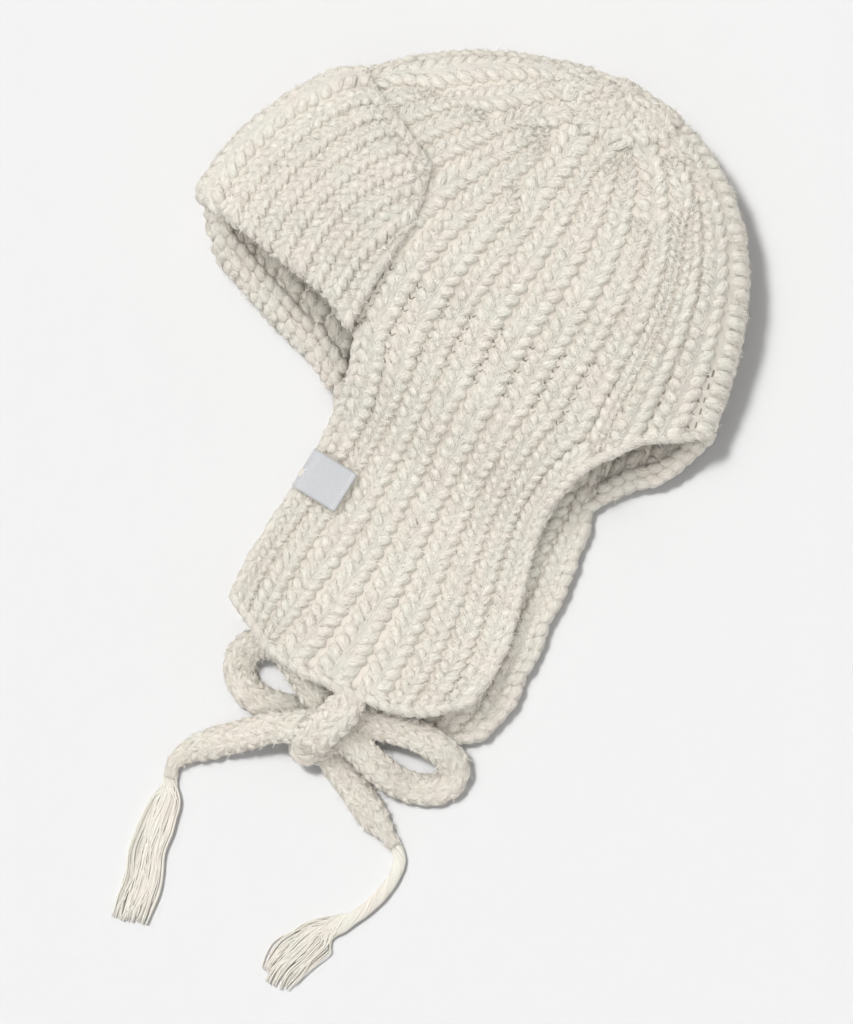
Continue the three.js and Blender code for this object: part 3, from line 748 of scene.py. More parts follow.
def fuzz(parts, packed, count):
    """Short fibres, each one slender face that lies close to the yarn."""
    root, out, tangent = fibre_roots(packed, count)
    amount = len(root)
    wild = unit(RANDOM.normal(0, 1, (amount, 3)))
    heading = unit(tangent * RANDOM.choice([-1, 1], (amount, 1)) + FIBRE_WILD * wild)
    heading = heading - out * (heading * out).sum(axis=1, keepdims=True)
    heading = unit(heading + FIBRE_LIFT * RANDOM.uniform(0.2, 1.6, (amount, 1)) * out)
    reach = FIBRE_LENGTH * RANDOM.uniform(0.35, 1.2, (amount, 1))
    broad = unit(np.cross(heading, out)) * FIBRE_WIDTH / 2 * RANDOM.uniform(0.6, 1.3, (amount, 1))
    base = root + out * 0.05
    tip = base + heading * reach
    points = np.stack([base - broad, base + broad, tip + broad * FIBRE_TIP, tip - broad * FIBRE_TIP], axis=1)
    faces = (np.arange(amount) * 4)[:, None] + np.array([0, 1, 2, 3])
    uv = np.zeros((amount, 4, 2)) + RANDOM.uniform(0, 100, (amount, 1, 1))
    parts.add(points, (faces,), uv, RANDOM.uniform(0, 1, (amount, 1)), 1.0)


def strays(parts, packed, count):
    """Longer curved fibres that stand off the yarn."""
    root, out, tangent = fibre_roots(packed, count)
    amount = len(root)
    wild = unit(RANDOM.normal(0, 1, (amount, 3)))
    heading = unit(tangent * RANDOM.choice([-1, 1], (amount, 1)) + STRAY_WILD * wild + 0.4 * STRAY_LIFT * out)
    reach = STRAY_LENGTH * RANDOM.uniform(0.4, 1.25, (amount, 1))
    middle = root + heading * reach * 0.5 + out * reach * 0.1 * STRAY_LIFT
    bend = unit(heading + STRAY_BEND * unit(RANDOM.normal(0, 1, (amount, 3))) + 0.2 * STRAY_LIFT * out)
    tip = middle + bend * reach * 0.5
    broad = unit(np.cross(heading, out + 0.3 * wild)) * STRAY_WIDTH / 2
    points = np.stack([root - broad, root + broad, middle - broad * 0.8, middle + broad * 0.8, tip], axis=1)
    base = (np.arange(amount) * 5)[:, None]
    faces = (base + np.array([0, 1, 3, 2]), base + np.array([2, 3, 4]))
    uv = np.zeros((amount, 5, 2)) + RANDOM.uniform(0, 100, (amount, 1, 1))
    parts.add(points, faces, uv, RANDOM.uniform(0.3, 1, (amount, 1)), 1.0)


# Materials
def feed(tree, node, inputs):
    """Sets a node's inputs by name, or links them where a value comes from another node."""
    for name, value in inputs.items():
        if isinstance(value, bpy.types.NodeSocket):
            tree.links.new(value, node.inputs[name])
        else:
            node.inputs[name].default_value = value


def add_node(tree, kind, inputs):
    node = tree.nodes.new("ShaderNode" + kind)
    feed(tree, node, inputs)
    return node


def new_material(name):
    material = bpy.data.materials.new(name)
    material.use_nodes = True
    tree = material.node_tree
    tree.nodes.clear()
    output = tree.nodes.new("ShaderNodeOutputMaterial")
    shader = tree.nodes.new("ShaderNodeBsdfPrincipled")
    tree.links.new(shader.outputs[0], output.inputs[0])
    return material, tree, shader


def own_value(tree, name):
    """A value that the mesh holds for each point."""
    node = add_node(tree, "Attribute", {})
    node.attribute_name = name
    return node.outputs["Fac"]


def yarn_uv(tree):
    node = add_node(tree, "UVMap", {})
    node.uv_map = "yarn"
    return node.outputs[0]


def colour_mix(tree, kind, amount, first, second):
    mix = tree.nodes.new("ShaderNodeMix")
    mix.data_type = "RGBA"
    mix.blend_type = kind
    opaque = [(*value, 1.0) if isinstance(value, tuple) else value for value in (first, second)]
    feed(tree, mix, {0: amount, 6: opaque[0], 7: opaque[1]})
    return mix.outputs[2]


def calculate(tree, kind, first, second):
    node = tree.nodes.new("ShaderNodeMath")
    node.operation = kind
    feed(tree, node, {0: first, 1: second})
    return node.outputs[0]


def ramp(tree, amount, *stops):
    node = add_node(tree, "ValToRGB", {0: amount})
    for element, (position, colour) in zip(node.color_ramp.elements, stops):
        element.position = position
        element.color = (*colour, 1)
    return node.outputs[0]


def dent(tree, height, strength, distance):
    return add_node(tree, "Bump", {"Strength": strength, "Distance": distance, "Height": height}).outputs[0]


def streaks(tree, uv, turn, along, across):
    """Noise drawn out into short fibres that lie at an angle to the yarn."""
    stretch = add_node(tree, "Mapping", {0: uv, "Rotation": (0, 0, turn), "Scale": (along, across, 1)})
    fibres = {"Vector": stretch.outputs[0], "Scale": 1.0, "Detail": 3.0, "Distortion": 0.6}
    return add_node(tree, "TexNoise", fibres).outputs[0]


STREAK_TURNS = (0.5, -0.7)
PATCH_SHARE = 0.86  # of the tint, the rest being each stitch's own
WARM = (1.0, 0.968, 0.94)
COOL = (0.975, 0.99, 0.95)
YARN_DENT = 0.0016


def yarn_material(name, light, dark, groove_shade, fibre=(0.22, 0.95), bump=0.9, spread=0.03):
    """Woollen yarn: crossing fibres, a tint for each stitch, and a painted shade colour in the grooves."""
    material, tree, shader = new_material(name)
    uv = yarn_uv(tree)
    crossing = calculate(tree, "MAXIMUM", *(streaks(tree, uv, turn, *fibre) for turn in STREAK_TURNS))
    place = add_node(tree, "TexCoord", {}).outputs["Object"]
    patches = add_node(tree, "TexNoise", {"Vector": place, "Scale": 60.0, "Detail": 1.0}).outputs[0]
    tone, painted_light = own_value(tree, "tone"), own_value(tree, "painted_light")
    hue = calculate(
        tree, "ADD", calculate(tree, "MULTIPLY", patches, PATCH_SHARE),
        calculate(tree, "MULTIPLY", tone, 1 - PATCH_SHARE),
    )
    colour = ramp(tree, crossing, (0.46, dark), (0.66, light))
    colour = colour_mix(tree, "MULTIPLY", 1.0, colour, ramp(tree, hue, (0.38, WARM), (0.62, COOL)))
    value = colour_mix(tree, "MIX", tone, (1 - spread,) * 3, (1.0, 1.0, 1.0))
    colour = colour_mix(tree, "MULTIPLY", 1.0, colour, value)
    feed(tree, shader, {
        # Painted shade: the colour turns to the darker groove colour where a point lies down in a groove
        "Base Color": colour_mix(tree, "MIX", painted_light, groove_shade, colour),
        "Normal": dent(tree, crossing, bump, YARN_DENT),
        "Roughness": 0.92, "Specular IOR Level": 0.05, "Sheen Weight": 0.3, "Sheen Roughness": 0.5,
    })
    return material


def fibre_material(name, light, dark):
    """The fine fibres: one shade for each."""
    material, tree, shader = new_material(name)
    colour = colour_mix(tree, "MIX", own_value(tree, "tone"), dark, light)
    feed(tree, shader, {"Base Color": colour, "Roughness": 0.9, "Specular IOR Level": 0.05})
    return material


def plain_material(name, colour):
    material, tree, shader = new_material(name)
    feed(tree, shader, {"Base Color": (*colour, 1), "Roughness": 0.8})
    return material


RIBBON_DARK = (0.46, 0.468, 0.485)
RIBBON_LIGHT = (0.65, 0.655, 0.668)
RIBBON_WORN = (0.575, 0.583, 0.6)
RIBBON_DENT = 0.0004


def label_material():
    """Woven ribbon: fine crossing threads, pale and slightly cool, with nothing written on it."""
    material, tree, shader = new_material("woven_label")
    uv = yarn_uv(tree)
    waves = []
    for direction in ("X", "Y"):
        wave = add_node(tree, "TexWave", {"Scale": 0.9, "Distortion": 0.4, "Vector": uv})
        wave.bands_direction = direction
        waves.append(wave.outputs["Fac"])
    weave = calculate(tree, "MULTIPLY", *waves)
    noise = add_node(tree, "TexNoise", {"Scale": 0.5, "Vector": uv}).outputs[0]
    colour = colour_mix(tree, "MIX", weave, RIBBON_DARK, RIBBON_LIGHT)
    feed(tree, shader, {
        "Base Color": colour_mix(tree, "MIX", noise, colour, RIBBON_WORN),
        "Normal": dent(tree, weave, 0.35, RIBBON_DENT), "Roughness": 0.55, "Sheen Weight": 0.2,
    })
    return material


# Each yarn's groove colour below is painted shade for its grooves
KNIT_LIGHT = (0.845, 0.812, 0.755)
KNIT = yarn_material("rib_knit", KNIT_LIGHT, (0.765, 0.728, 0.667), groove_shade=(0.74, 0.69, 0.615))
# The inside's knit is a shaded copy of the knit: its groove colour is much darker painted shade
SHADED_INNER_KNIT = yarn_material("inner_knit_painted_shade", KNIT_LIGHT, (0.76, 0.722, 0.66), groove_shade=(0.36, 0.325, 0.265))
CORD_KNIT = yarn_material(
    "braided_tie", (0.845, 0.81, 0.755), (0.76, 0.72, 0.655), groove_shade=(0.72, 0.665, 0.585),
)
TASSEL = yarn_material(
    "tassel_yarn", (0.90, 0.875, 0.825), (0.82, 0.787, 0.725), groove_shade=(0.78, 0.74, 0.665),
    fibre=(0.2, 3.0), bump=0.3, spread=0.1,
)
FIBRES = fibre_material("wool_fibres", (0.895, 0.867, 0.812), (0.66, 0.617, 0.548))
LABEL = label_material()
FLOOR = plain_material("floor", (0.765, 0.765, 0.765))


# Camera: straight down, as the photograph is taken, turned so that the hat leans to the right
PHOTO = (853, 1024)
PIXEL = 0.5  # millimetres for a pixel at the hat's own level
CAMERA_TURN = math.radians(23.95)
CAMERA_AIM = (26.6, -67.6)
CAMERA_HEIGHT = 3200.0
HAT_LEVEL = 22.0


def camera():
    data = bpy.data.cameras.new("camera")
    data.sensor_fit = "VERTICAL"
    data.sensor_height = 24
    data.lens = 24 * (CAMERA_HEIGHT - HAT_LEVEL) / (PHOTO[1] * PIXEL)
    data.clip_end = 20
    made = bpy.data.objects.new("camera", data)
    made.location = (CAMERA_AIM[0] * MM, CAMERA_AIM[1] * MM, CAMERA_HEIGHT * MM)
    made.rotation_euler = (0, 0, CAMERA_TURN)
    bpy.context.scene.collection.objects.link(made)
    bpy.context.scene.camera = made


camera()

# Ties. Each route is the middle of one tie from the flap's tip where it is sewn on, measured from
# the middle of the near flap's tip, with z above the ground
SEWN_ON = wall_middle(TIE_LINE, 2.0)
TIE_REST = 3.6
NEAR_TIE = (
    (0.6, 0.5, 22.5), (0.4, -4, 24), (-1.4, -11, 24.8), (-4.6, -19, 24), (-7.8, -26, 20.6),
    (-10.4, -31.8, 15), (-9.4, -33.6, 10.8), (-4.2, -29.8, 9.6), (2, -23, 9.6), (7, -15.5, 11.2),
    (12.2, -10.3, 12.6), (25.1, -7.3, 12), (39.1, -5.8, 12), (51.1, -7, 11.4), (60.2, -11, 7.6),
    (63.6, -18.6, 4.6), (59.4, -26.2, TIE_REST), (49.1, -30.6, TIE_REST), (37.1, -31, 7),
    (25.1, -28, 11.6), (14.1, -23.5, 12.4), (3.2, -20.5, 14), (-6, -20.5, 15), (-12.8, -22, 15),
    (-21.3, -27.6, 14), (-30.8, -32.6, 12), (-40, -40, 8.4), (-49.2, -47.4, 5),
    (-57.8, -54.8, TIE_REST), (-64, -61.2, TIE_REST), (-67.4, -67.8, TIE_REST), (-66.6, -76, TIE_REST),
)
FAR_TIE = (
    (-0.9, -2.6, 3.9), (-1.4, -6, 4.6), (-5.6, -9.5, 9), (-13.6, -9.2, 12.6), (-22.4, -3.6, 12.4),
    (-31, 1.6, 12), (-41.4, 7.4, 11.8), (-51.6, 5.8, 9.5), (-57.8, -2.6, 5.5),
    (-56.6, -12.2, TIE_REST), (-49.6, -19.2, TIE_REST), (-40, -22, TIE_REST),
    (-29.9, -21, TIE_REST), (-16.9, -20, TIE_REST), (-10, -20.6, TIE_REST),
    (-3.6, -26.5, TIE_REST), (3.1, -32.8, TIE_REST), (12.6, -38.4, TIE_REST),
    (23.6, -45, TIE_REST), (33.6, -51.4, TIE_REST), (43.2, -56.8, TIE_REST), (51, -61.5, TIE_REST),
)
LEFT_TASSEL = (
    (-67.6, -67.8, 3.6), (-66.2, -76, 3.3), (-64, -86.1, 3), (-63, -99.6, 2.8), (-61.4, -112.2, 2.7),
    (-59.2, -122.5, 2.7), (-57.6, -134.4, 2.6), (-56.6, -151.5, 2.6),
)
RIGHT_TASSEL = (
    (43.8, -56.4, 3.8), (51.6, -61.4, 3.5), (56.2, -67.2, 3.2), (56.8, -76.3, 3.2), (54.4, -87.2, 3.2),
    (49.8, -97.6, 3.2), (44.3, -105.6, 3.2), (37.9, -111.7, 3.1), (33.6, -117.6, 3), (29.4, -128.4, 2.8),
    (25.1, -140.6, 2.7), (22.8, -151, 2.6),
)


def spline(points, samples):
    """A smooth curve through chosen points, evenly sampled by length."""
    points = np.array(points, float)
    padded = np.concatenate([[2 * points[0] - points[1]], points, [2 * points[-1] - points[-2]]])
    fine = []
    for p0, p1, p2, p3 in zip(padded, padded[1:], padded[2:], padded[3:]):
        t = np.linspace(0, 1, 24, endpoint=False)[:, None]
        fine.append(0.5 * (2 * p1 + (p2 - p0) * t + (2 * p0 - 5 * p1 + 4 * p2 - p3) * t**2
                           + (3 * p1 - p0 - 3 * p2 + p3) * t**3))
    fine.append(points[-1:])
    fine = np.concatenate(fine)
    run = run_along(fine)
    return points_at(np.linspace(0, run[-1], samples), run, fine), run[-1]


def placed(route):
    offset = np.array([SEWN_ON[0], SEWN_ON[1], 0])
    return [tuple(np.array(point) + offset) for point in route]


CORD_SAMPLES = 400
OVAL_SAMPLES = 721
SIDE_BLUR = 4


class Cord:
    """A flat tie along a route, its short side upright."""

    def __init__(self, route, width, thickness, taper):
        self.line, self.length = spline(placed(route), CORD_SAMPLES)
        self.run = np.linspace(0, self.length, CORD_SAMPLES)
        self.width, self.thickness, self.taper = width, thickness, taper
        tangent = unit(np.gradient(self.line, axis=0))
        side = unit(np.cross(tangent, np.array([0.0, 0.0, 1.0])))
        kernel = np.ones(2 * SIDE_BLUR + 1) / (2 * SIDE_BLUR + 1)
        padded = np.pad(side, ((SIDE_BLUR, SIDE_BLUR), (0, 0)), "edge")
        self.side = unit(np.stack([np.convolve(values, kernel, "valid") for values in padded.T], axis=1))
        self.normal = unit(np.cross(self.side, tangent))
        self.angles = np.linspace(0, 2 * math.pi, OVAL_SAMPLES)
        oval = np.stack([np.cos(self.angles) * width / 2, np.sin(self.angles) * thickness / 2], axis=1)
        girth = run_along(oval)
        self.round = girth[-1]
        self.girth = girth / self.round

    def surface(self, around, s, height):
        """around is the share of the way round the oval, s the way along, height over its surface."""
        angle = np.interp(np.mod(around, 1.0), self.girth, self.angles)
        cos, sin = np.cos(angle), np.sin(angle)
        flat = np.stack([cos * self.width / 2, sin * self.thickness / 2], axis=-1)
        out = unit(np.stack([cos / self.width, sin / self.thickness], axis=-1))
        offset = flat * self.taper(s)[..., None] + out * np.asarray(height)[..., None]
        middle, side, normal = (points_at(s, self.run, own) for own in (self.line, self.side, self.normal))
        return middle + side * offset[..., :1] + normal * offset[..., 1:]


TIE_COLUMNS = 4
TIE_PITCH = 6.6
TIE_RISE = 0.35
TIE_THICK = 1.6
TIE_RING = 2.5  # from one ring of the core to the next
TIE_SIDES = 12
TIE_CORE = 0.95
# The tie's core under its stitches takes a little of the painted groove shade colour
TIE_PAINTED_LIGHT = 0.8
STITCH_ROOM = (3.4, 3.0)  # what the stitches add to the tie's width and thickness
WRAP = ((0.0, 1.0), (12.0, 1.24), (40.0, 1.24), (52.0, 1.0))  # the tie spreads where it wraps the bow
NO_WRAP = ((0.0, 1.0), (1.0, 1.0))
TAIL_END = 0.3  # how narrow a tail is at its very end


def knit_tie(parts, cord):
    """The stitches of a tie: columns of small Vs all round it, over a plain core."""
    packed = []
    count = int(cord.length / TIE_PITCH)
    for column in range(TIE_COLUMNS):
        s = (np.arange(count) + 0.5 + 0.5 * (column % 2)) * cord.length / count
        s = s[s < cord.length - 1]
        full = np.ones_like(s)
        rows = np.stack([s, full, TIE_PITCH * full, cord.round / TIE_COLUMNS * cord.taper(s)], axis=1)
        bounds = [
            lambda v, edge=edge: np.full_like(v, (column + 0.25 + edge) / TIE_COLUMNS) for edge in (-0.5, 0.5)
        ]
        packed += v_stitches(
            parts, cord.surface, bounds, rows, (0.0, cord.length), rise=TIE_RISE, thick=TIE_THICK,
        )
    s = np.linspace(0, cord.length, int(cord.length / TIE_RING))
    grid_s, around = np.meshgrid(s, np.arange(TIE_SIDES) / TIE_SIDES, indexing="ij")
    parts.tubes(cord.surface(around, grid_s, np.full(grid_s.shape, TIE_CORE))[None], TIE_PAINTED_LIGHT, 0.5)
    return packed


def tail_taper(length, over, wrap):
    def taper(s):
        return lerp(1.0, TAIL_END, smooth((s - length + over) / over)) * from_table(wrap, s, smooth)
    return taper


def make_ties():
    pieces = {}
    for name, route, nodes, over, wrap in (
        ("near_tie", NEAR_TIE, ("bow_knot", "right_loop", "left_tail"), 31.0, WRAP),
        ("far_tie", FAR_TIE, ("left_loop", "right_tail"), 21.0, NO_WRAP),
    ):
        _, length = spline(placed(route), CORD_SAMPLES)
        taper = tail_taper(length, over, wrap)
        cord = Cord(route, TIE_WIDTH - STITCH_ROOM[0], TIE_THICKNESS - STITCH_ROOM[1], taper)
        parts = Parts()
        packed = knit_tie(parts, cord)
        piece = parts.object(name, CORD_KNIT)
        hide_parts(*nodes)
        pieces[name] = (piece, cord)
        hairs = Parts()
        fuzz(hairs, packed, 24000)
        strays(hairs, packed, 2000)
        hairs.object(name + "_fuzz", FIBRES)
    return pieces


# The loose yarns of the tassels, in locks
LOCKS = 9
LOCK_REACH = 0.82
LOCK_SLIP = 0.05
LOCK_WIDTH = 0.3
LOCK_DRAW = 0.45  # how much narrower a lock is at its end
LOCK_WAVES = ((0.1, 9.0), (0.045, 4.0))
FAN_BLEND = 0.14
YARN_TURNS = 7
YARN_TWIST = 0.16  # radians for each millimetre of the bundle before the tassel
YARN_SHORTER = 0.16
ASTRAY_EVERY = 17
ASTRAY = (0.15, 0.6)
YARN_SIDES = 5
# The tassel yarns take a little of the painted groove shade colour all over
YARN_PAINTED_LIGHT = 0.9
YARN_POINTS = 160
UP = np.array([0.0, 0.0, 1.0])
LEFT_SPREAD = ((0.0, 2.4), (0.1, 3.6), (0.27, 7.0), (0.45, 8.0), (0.65, 8.8), (0.85, 9.2), (1.0, 8.8))
RIGHT_SPREAD = ((0.0, 3.3), (0.1, 2.7), (0.5, 3.0), (0.58, 5.2), (0.7, 9.2), (0.85, 10.4), (1.0, 10.2))


def strands(parts, route, count, radius, spread_rows, thickness, ragged, samples, fan_from):
    """Loose yarns along a route: twisted together until fan_from, then spread out in locks."""
    line, length = spline(placed(route), YARN_POINTS)
    run = np.linspace(0, length, YARN_POINTS)
    places = np.linspace(-LOCK_REACH, LOCK_REACH, LOCKS) + RANDOM.uniform(-LOCK_SLIP, LOCK_SLIP, LOCKS)
    phases = RANDOM.uniform(0, 2 * math.pi, (LOCKS, 2))
    stops = 1 - ragged * RANDOM.uniform(0, 1, LOCKS) ** 1.5
    rings = []
    for i in range(count):
        lock = i % LOCKS
        stop = length * stops[lock] * (1 - YARN_SHORTER * RANDOM.uniform(0, 1) ** 2)
        s = np.linspace(0, stop, samples)
        share = s / length
        base = points_at(s, run, line)
        side = unit(np.cross(unit(np.gradient(base, axis=0)), UP))
        turn = 2 * math.pi * i / count * YARN_TURNS + s * YARN_TWIST
        depth = math.sqrt(RANDOM.uniform(0.1, 1))
        fan = smooth((share - fan_from) / FAN_BLEND)
        draw = 1 - LOCK_DRAW * rise_between(s / stop, (0.8, 1.0))
        own = places[lock] + LOCK_WIDTH * RANDOM.uniform(-1, 1) * draw
        for (size, pace), phase in zip(LOCK_WAVES, phases[lock]):
            own = own + size * np.sin(s / pace + phase)
        loose = RANDOM.uniform(*ASTRAY) if i % ASTRAY_EVERY == 0 else 0.0
        own = own + loose * np.sin(math.pi * np.clip((share - fan_from) / (1 - fan_from), 0, 1) ** 1.5)
        out = from_table(spread_rows, share, smooth) * lerp(np.cos(turn) * depth, own, fan)
        high = lerp(0.5 + 0.5 * np.sin(turn) * depth, RANDOM.uniform(0, 1) * (1 - 0.5 * share), fan)
        centre = base + side * out[:, None]
        centre[:, 2] = radius + thickness * high
        heading = unit(np.gradient(centre, axis=0))
        across = unit(np.cross(heading, UP))
        size = radius * RANDOM.uniform(0.7, 1.3) * np.linspace(1.05, 0.75, samples)[:, None]
        outward = unit(np.cross(across, heading))
        rings.append(rings_round(centre[None], (across * size)[None], (outward * size)[None], YARN_SIDES)[0])
    parts.tubes(np.stack(rings), YARN_PAINTED_LIGHT)


def make_tassels():
    left = Parts()
    strands(left, LEFT_TASSEL, 153, radius=0.4, spread_rows=LEFT_SPREAD, thickness=3.4, ragged=0.16,
            samples=24, fan_from=0.08)
    left_piece = left.object("left_tassel_yarns", TASSEL)
    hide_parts("left_tassel")
    right = Parts()
    strands(right, RIGHT_TASSEL, 135, radius=0.42, spread_rows=RIGHT_SPREAD, thickness=3.8, ragged=0.1,
            samples=40, fan_from=0.56)
    right_piece = right.object("right_tassel_yarns", TASSEL)
    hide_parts("right_tassel", "right_tail_yarns")
    return left_piece, right_piece


def declare_cords(ties, tassels):
    for name, tassel in (("near_tie", tassels[0]), ("far_tie", tassels[1])):
        piece, cord = ties[name]
        line = cord.line * MM
        tuple(line[0])
        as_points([tuple(p) for p in line[::4]] + [tuple(line[-1])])


TIES = make_ties()
TASSELS = make_tassels()
declare_cords(TIES, TASSELS)


# The crown's top, where the ribs' ends are drawn in to one point
GATHER_STITCHES = 200
GATHER_START = 0.014
GATHER_REACH = 0.12  # how far down the crown the drawn-in stitches lie
GATHER_LEG = 0.016
GATHER_TURN = 0.3
GATHER_LEAN = 0.5
GATHER_HEIGHT = 3.3
GATHER_ARCH = 1.6
GATHER_SIZE = (2.6, 2.1)
GATHER_BED = 6.0
# The gathered stitches at the top take a little of the painted groove shade colour all over
GATHER_PAINTED_LIGHT = 0.9
GOLDEN_TURN = (math.sqrt(5) - 1) / 2  # spreads the stitches evenly round the top
POLE_STITCHES = 44
POLE_SIZE = (7.5, 4.0, 7.5)  # half sizes of the small bunch right at the top
POLE_MIDDLE = 9.0
POLE_LEG = 2.6
POLE_ARCH = 1.4
POLE_THICK = (2.7, 2.1)
LEG_SHARES = np.linspace(-1, 1, 6)[None, :]


def gather_top(parts):
    count = np.arange(GATHER_STITCHES)[:, None] + 0.5
    around = count * GOLDEN_TURN * TURN + RANDOM.uniform(-GATHER_TURN, GATHER_TURN, count.shape)
    along = GATHER_START + (GATHER_REACH - GATHER_START) * np.sqrt(count / GATHER_STITCHES)
    u = around % TURN + GATHER_LEAN * RANDOM.normal(0, 1, (GATHER_STITCHES, 1)) * LEG_SHARES
    v = np.clip(along + GATHER_LEG * LEG_SHARES, RIB_LOW, 1)
    height = GATHER_HEIGHT - GATHER_ARCH * LEG_SHARES**2 + RANDOM.uniform(-0.4, 0.4, (GATHER_STITCHES, 1))
    line = wall_surface(u, v, height)
    outward = way_out(wall_surface, u, v, height)
    across = unit(np.cross(outward, unit(np.gradient(line, axis=1))))
    girth = LEG_GIRTH[None, :, None]
    rings = rings_round(line, across * girth * GATHER_SIZE[0], outward * girth * GATHER_SIZE[1], LEG_SIDES)
    parts.tubes(rings, GATHER_PAINTED_LIGHT)
    columns = np.linspace(0, TURN, 73)[:-1]
    sheet_between(parts, wall_surface, columns, np.linspace(0.008, GATHER_REACH, 8), GATHER_BED, closed=True)
    way = unit(RANDOM.normal(0, 1, (POLE_STITCHES, 3)) + np.array([0.0, 0.5, 0.3]))
    centre = wall_middle(POLE_MIDDLE, 0.0) + way * np.array(POLE_SIZE)
    aim = unit(np.cross(way, RANDOM.normal(0, 1, way.shape)))
    share = LEG_SHARES[..., None]
    bunch = centre[:, None] + aim[:, None] * share * POLE_LEG - way[:, None] * share**2 * POLE_ARCH
    out = np.broadcast_to(way[:, None], bunch.shape)
    beside = unit(np.cross(out, np.broadcast_to(aim[:, None], bunch.shape)))
    knot = rings_round(bunch, beside * girth * POLE_THICK[0], out * girth * POLE_THICK[1], LEG_SIDES)
    parts.tubes(knot, GATHER_PAINTED_LIGHT)
    return [(rings, line, outward), (knot, bunch, out)]


# The body: its near and far ribs, and the inside that shows at its openings
RIDGE_HEIGHTS = ((0.0, 1.7), (18.0, -0.6))
FAR_FIRST, FAR_LAST = TURN - LAST_FLAP, TURN - FIRST_FLAP
NEAR_INNER_TOP = 0.78
FAR_INNER_TOP = 0.6
INNER_RIM = 0.968
INNER_RIM_DEPTH = 2.6
RIM_STRETCHES = ((18.2, 21.0), (30.0, 35.9))
FLAP_SIDE_END = 1.99
FLAP_HEM = 1.995


def raised(u, v, height):
    return wall_surface(u, v, height + from_table(RIDGE_HEIGHTS, u))


def sunk(u, v, height):
    return wall_surface(u, v, height - INNER_RIM_DEPTH)


def flap_edge(first, last):
    """Stretches down one side of a flap, along its end and up its other side."""
    down, up = ((first, 1.0), (first, FLAP_SIDE_END)), ((last, FLAP_SIDE_END), (last, 1.0))
    return down, ((first, FLAP_HEM), (last, FLAP_HEM)), up


def make_body():
    near = Parts()
    packed = knit_ribs(near, False, 1.0, POLE_END, sides=6)
    packed += gather_top(near)
    columns = np.linspace(0, TURN, 145)[:-1]
    sheet_between(near, wall_surface, columns, np.linspace(0.03, 1.0, 26), closed=True)
    sheet_between(near, wall_surface, np.linspace(FIRST_FLAP, LAST_FLAP, 37), np.linspace(0.97, 2.0, 24))
    edge = *flap_edge(FIRST_FLAP, LAST_FLAP), ((LAST_FLAP, 1.0), (LAST_LINE, 1.0))
    chain = edge_chain(near, *polyline(wall_surface, edge))
    ridge = ((0, 1.0), (0, POLE_END)), ((LAST_LINE, POLE_END), (LAST_LINE, 0.99))
    chain += edge_chain(near, *polyline(raised, ridge, 90), radius=2.7, pitch=5.6, slant=0.5, rise=0.5)
    piece = near.object("near_ribs", KNIT)
    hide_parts("knitted_body")

    far = Parts()
    far_packed = knit_ribs(far, True, 1.0, POLE_END, sides=5)
    sheet_between(far, wall_surface, np.linspace(FAR_FIRST, FAR_LAST, 37), np.linspace(0.92, 2.0, 25))
    edge = (
        ((LAST_LINE, 1.0), (FAR_FIRST, 1.0)), *flap_edge(FAR_FIRST, FAR_LAST), ((FAR_LAST, 1.0), (TURN, 1.0)),
    )
    far_chain = edge_chain(far, *polyline(wall_surface, edge), radius=3.5, pitch=6.8)
    far.object("far_ribs", KNIT)

    inside = Parts()
    inner = knit_ribs(inside, True, -1.0, FAR_INNER_TOP, sides=6, hidden=(7, 12))
    inner += knit_ribs(inside, False, -1.0, NEAR_INNER_TOP, sides=5, hidden=(7, 14), widest=7.0)
    rim = []
    for low, high in RIM_STRETCHES:
        edge = (((low, INNER_RIM), (high, INNER_RIM)), )
        rim += edge_chain(inside, *polyline(sunk, edge), radius=3.2, pitch=6.6, rise=0.4)
    inside.object("inner_ribs", SHADED_INNER_KNIT)
    return packed + chain, far_packed + far_chain + rim, inner


# The peak
PEAK_PITCH = 12.6
PEAK_STITCH = 6.8
PEAK_STITCH_SHARE = 0.5
PEAK_RIDGE = 0.3
PEAK_HEM = 0.98
PEAK_SIDE_END = 0.97
PEAK_SIDE_SHARE = 0.985


def peak_bound(k):
    """A groove of the peak at an even distance from the ridge, until it meets the side edge."""
    up = np.linspace(0, 1, 21)
    toward = 1.0 if k >= 0 else -1.0
    shares = np.linspace(0, 1, 33)
    grid = peak_surface(toward * shares[None, :], up[:, None], np.zeros((len(up), len(shares))))
    half = run_along(grid)[:, -1]
    return lambda v: np.clip(k * PEAK_PITCH / np.interp(np.clip(v, 0, 1), up, half), -1, 1)


def ridge_surface(u, v, height):
    return peak_surface(u, v, height + PEAK_RIDGE)


def make_peak():
    parts = Parts()
    packed = []
    for k in range(-PEAK_RIBS, PEAK_RIBS):
        packed += knit_rib(
            parts, peak_surface, (peak_bound(k), peak_bound(k + 1)), (0.985, -FOLD_TURN), (0.99, -FOLD_TURN),
            (-FOLD_TURN, 1.0), widest=PEAK_STITCH, share=PEAK_STITCH_SHARE,
        )
    sheet_between(parts, peak_surface, np.linspace(-1, 1, 65), np.linspace(-FOLD_TURN, 1, 30))
    side = PEAK_SIDE_SHARE
    down, up = ((-side, 0.0), (-side, PEAK_SIDE_END)), ((side, PEAK_SIDE_END), (side, 0.0))
    edge = down, ((-side, PEAK_HEM), (side, PEAK_HEM)), up
    chain = edge_chain(parts, *polyline(peak_surface, edge, 90), radius=2.2, rise=0.5)
    ridge = ((0, PEAK_HEM), (0, 0)), ((0, 0), (0, -FOLD_TURN))
    chain += edge_chain(parts, *polyline(ridge_surface, ridge), radius=2.3, pitch=6.0, slant=0.5, rise=0.5)
    piece = parts.object("peak_ribs", KNIT)
    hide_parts("turned_up_peak")
    return packed + chain


NEAR_STITCHES, FAR_STITCHES, INNER_STITCHES = make_body()
PEAK_STITCHES = make_peak()


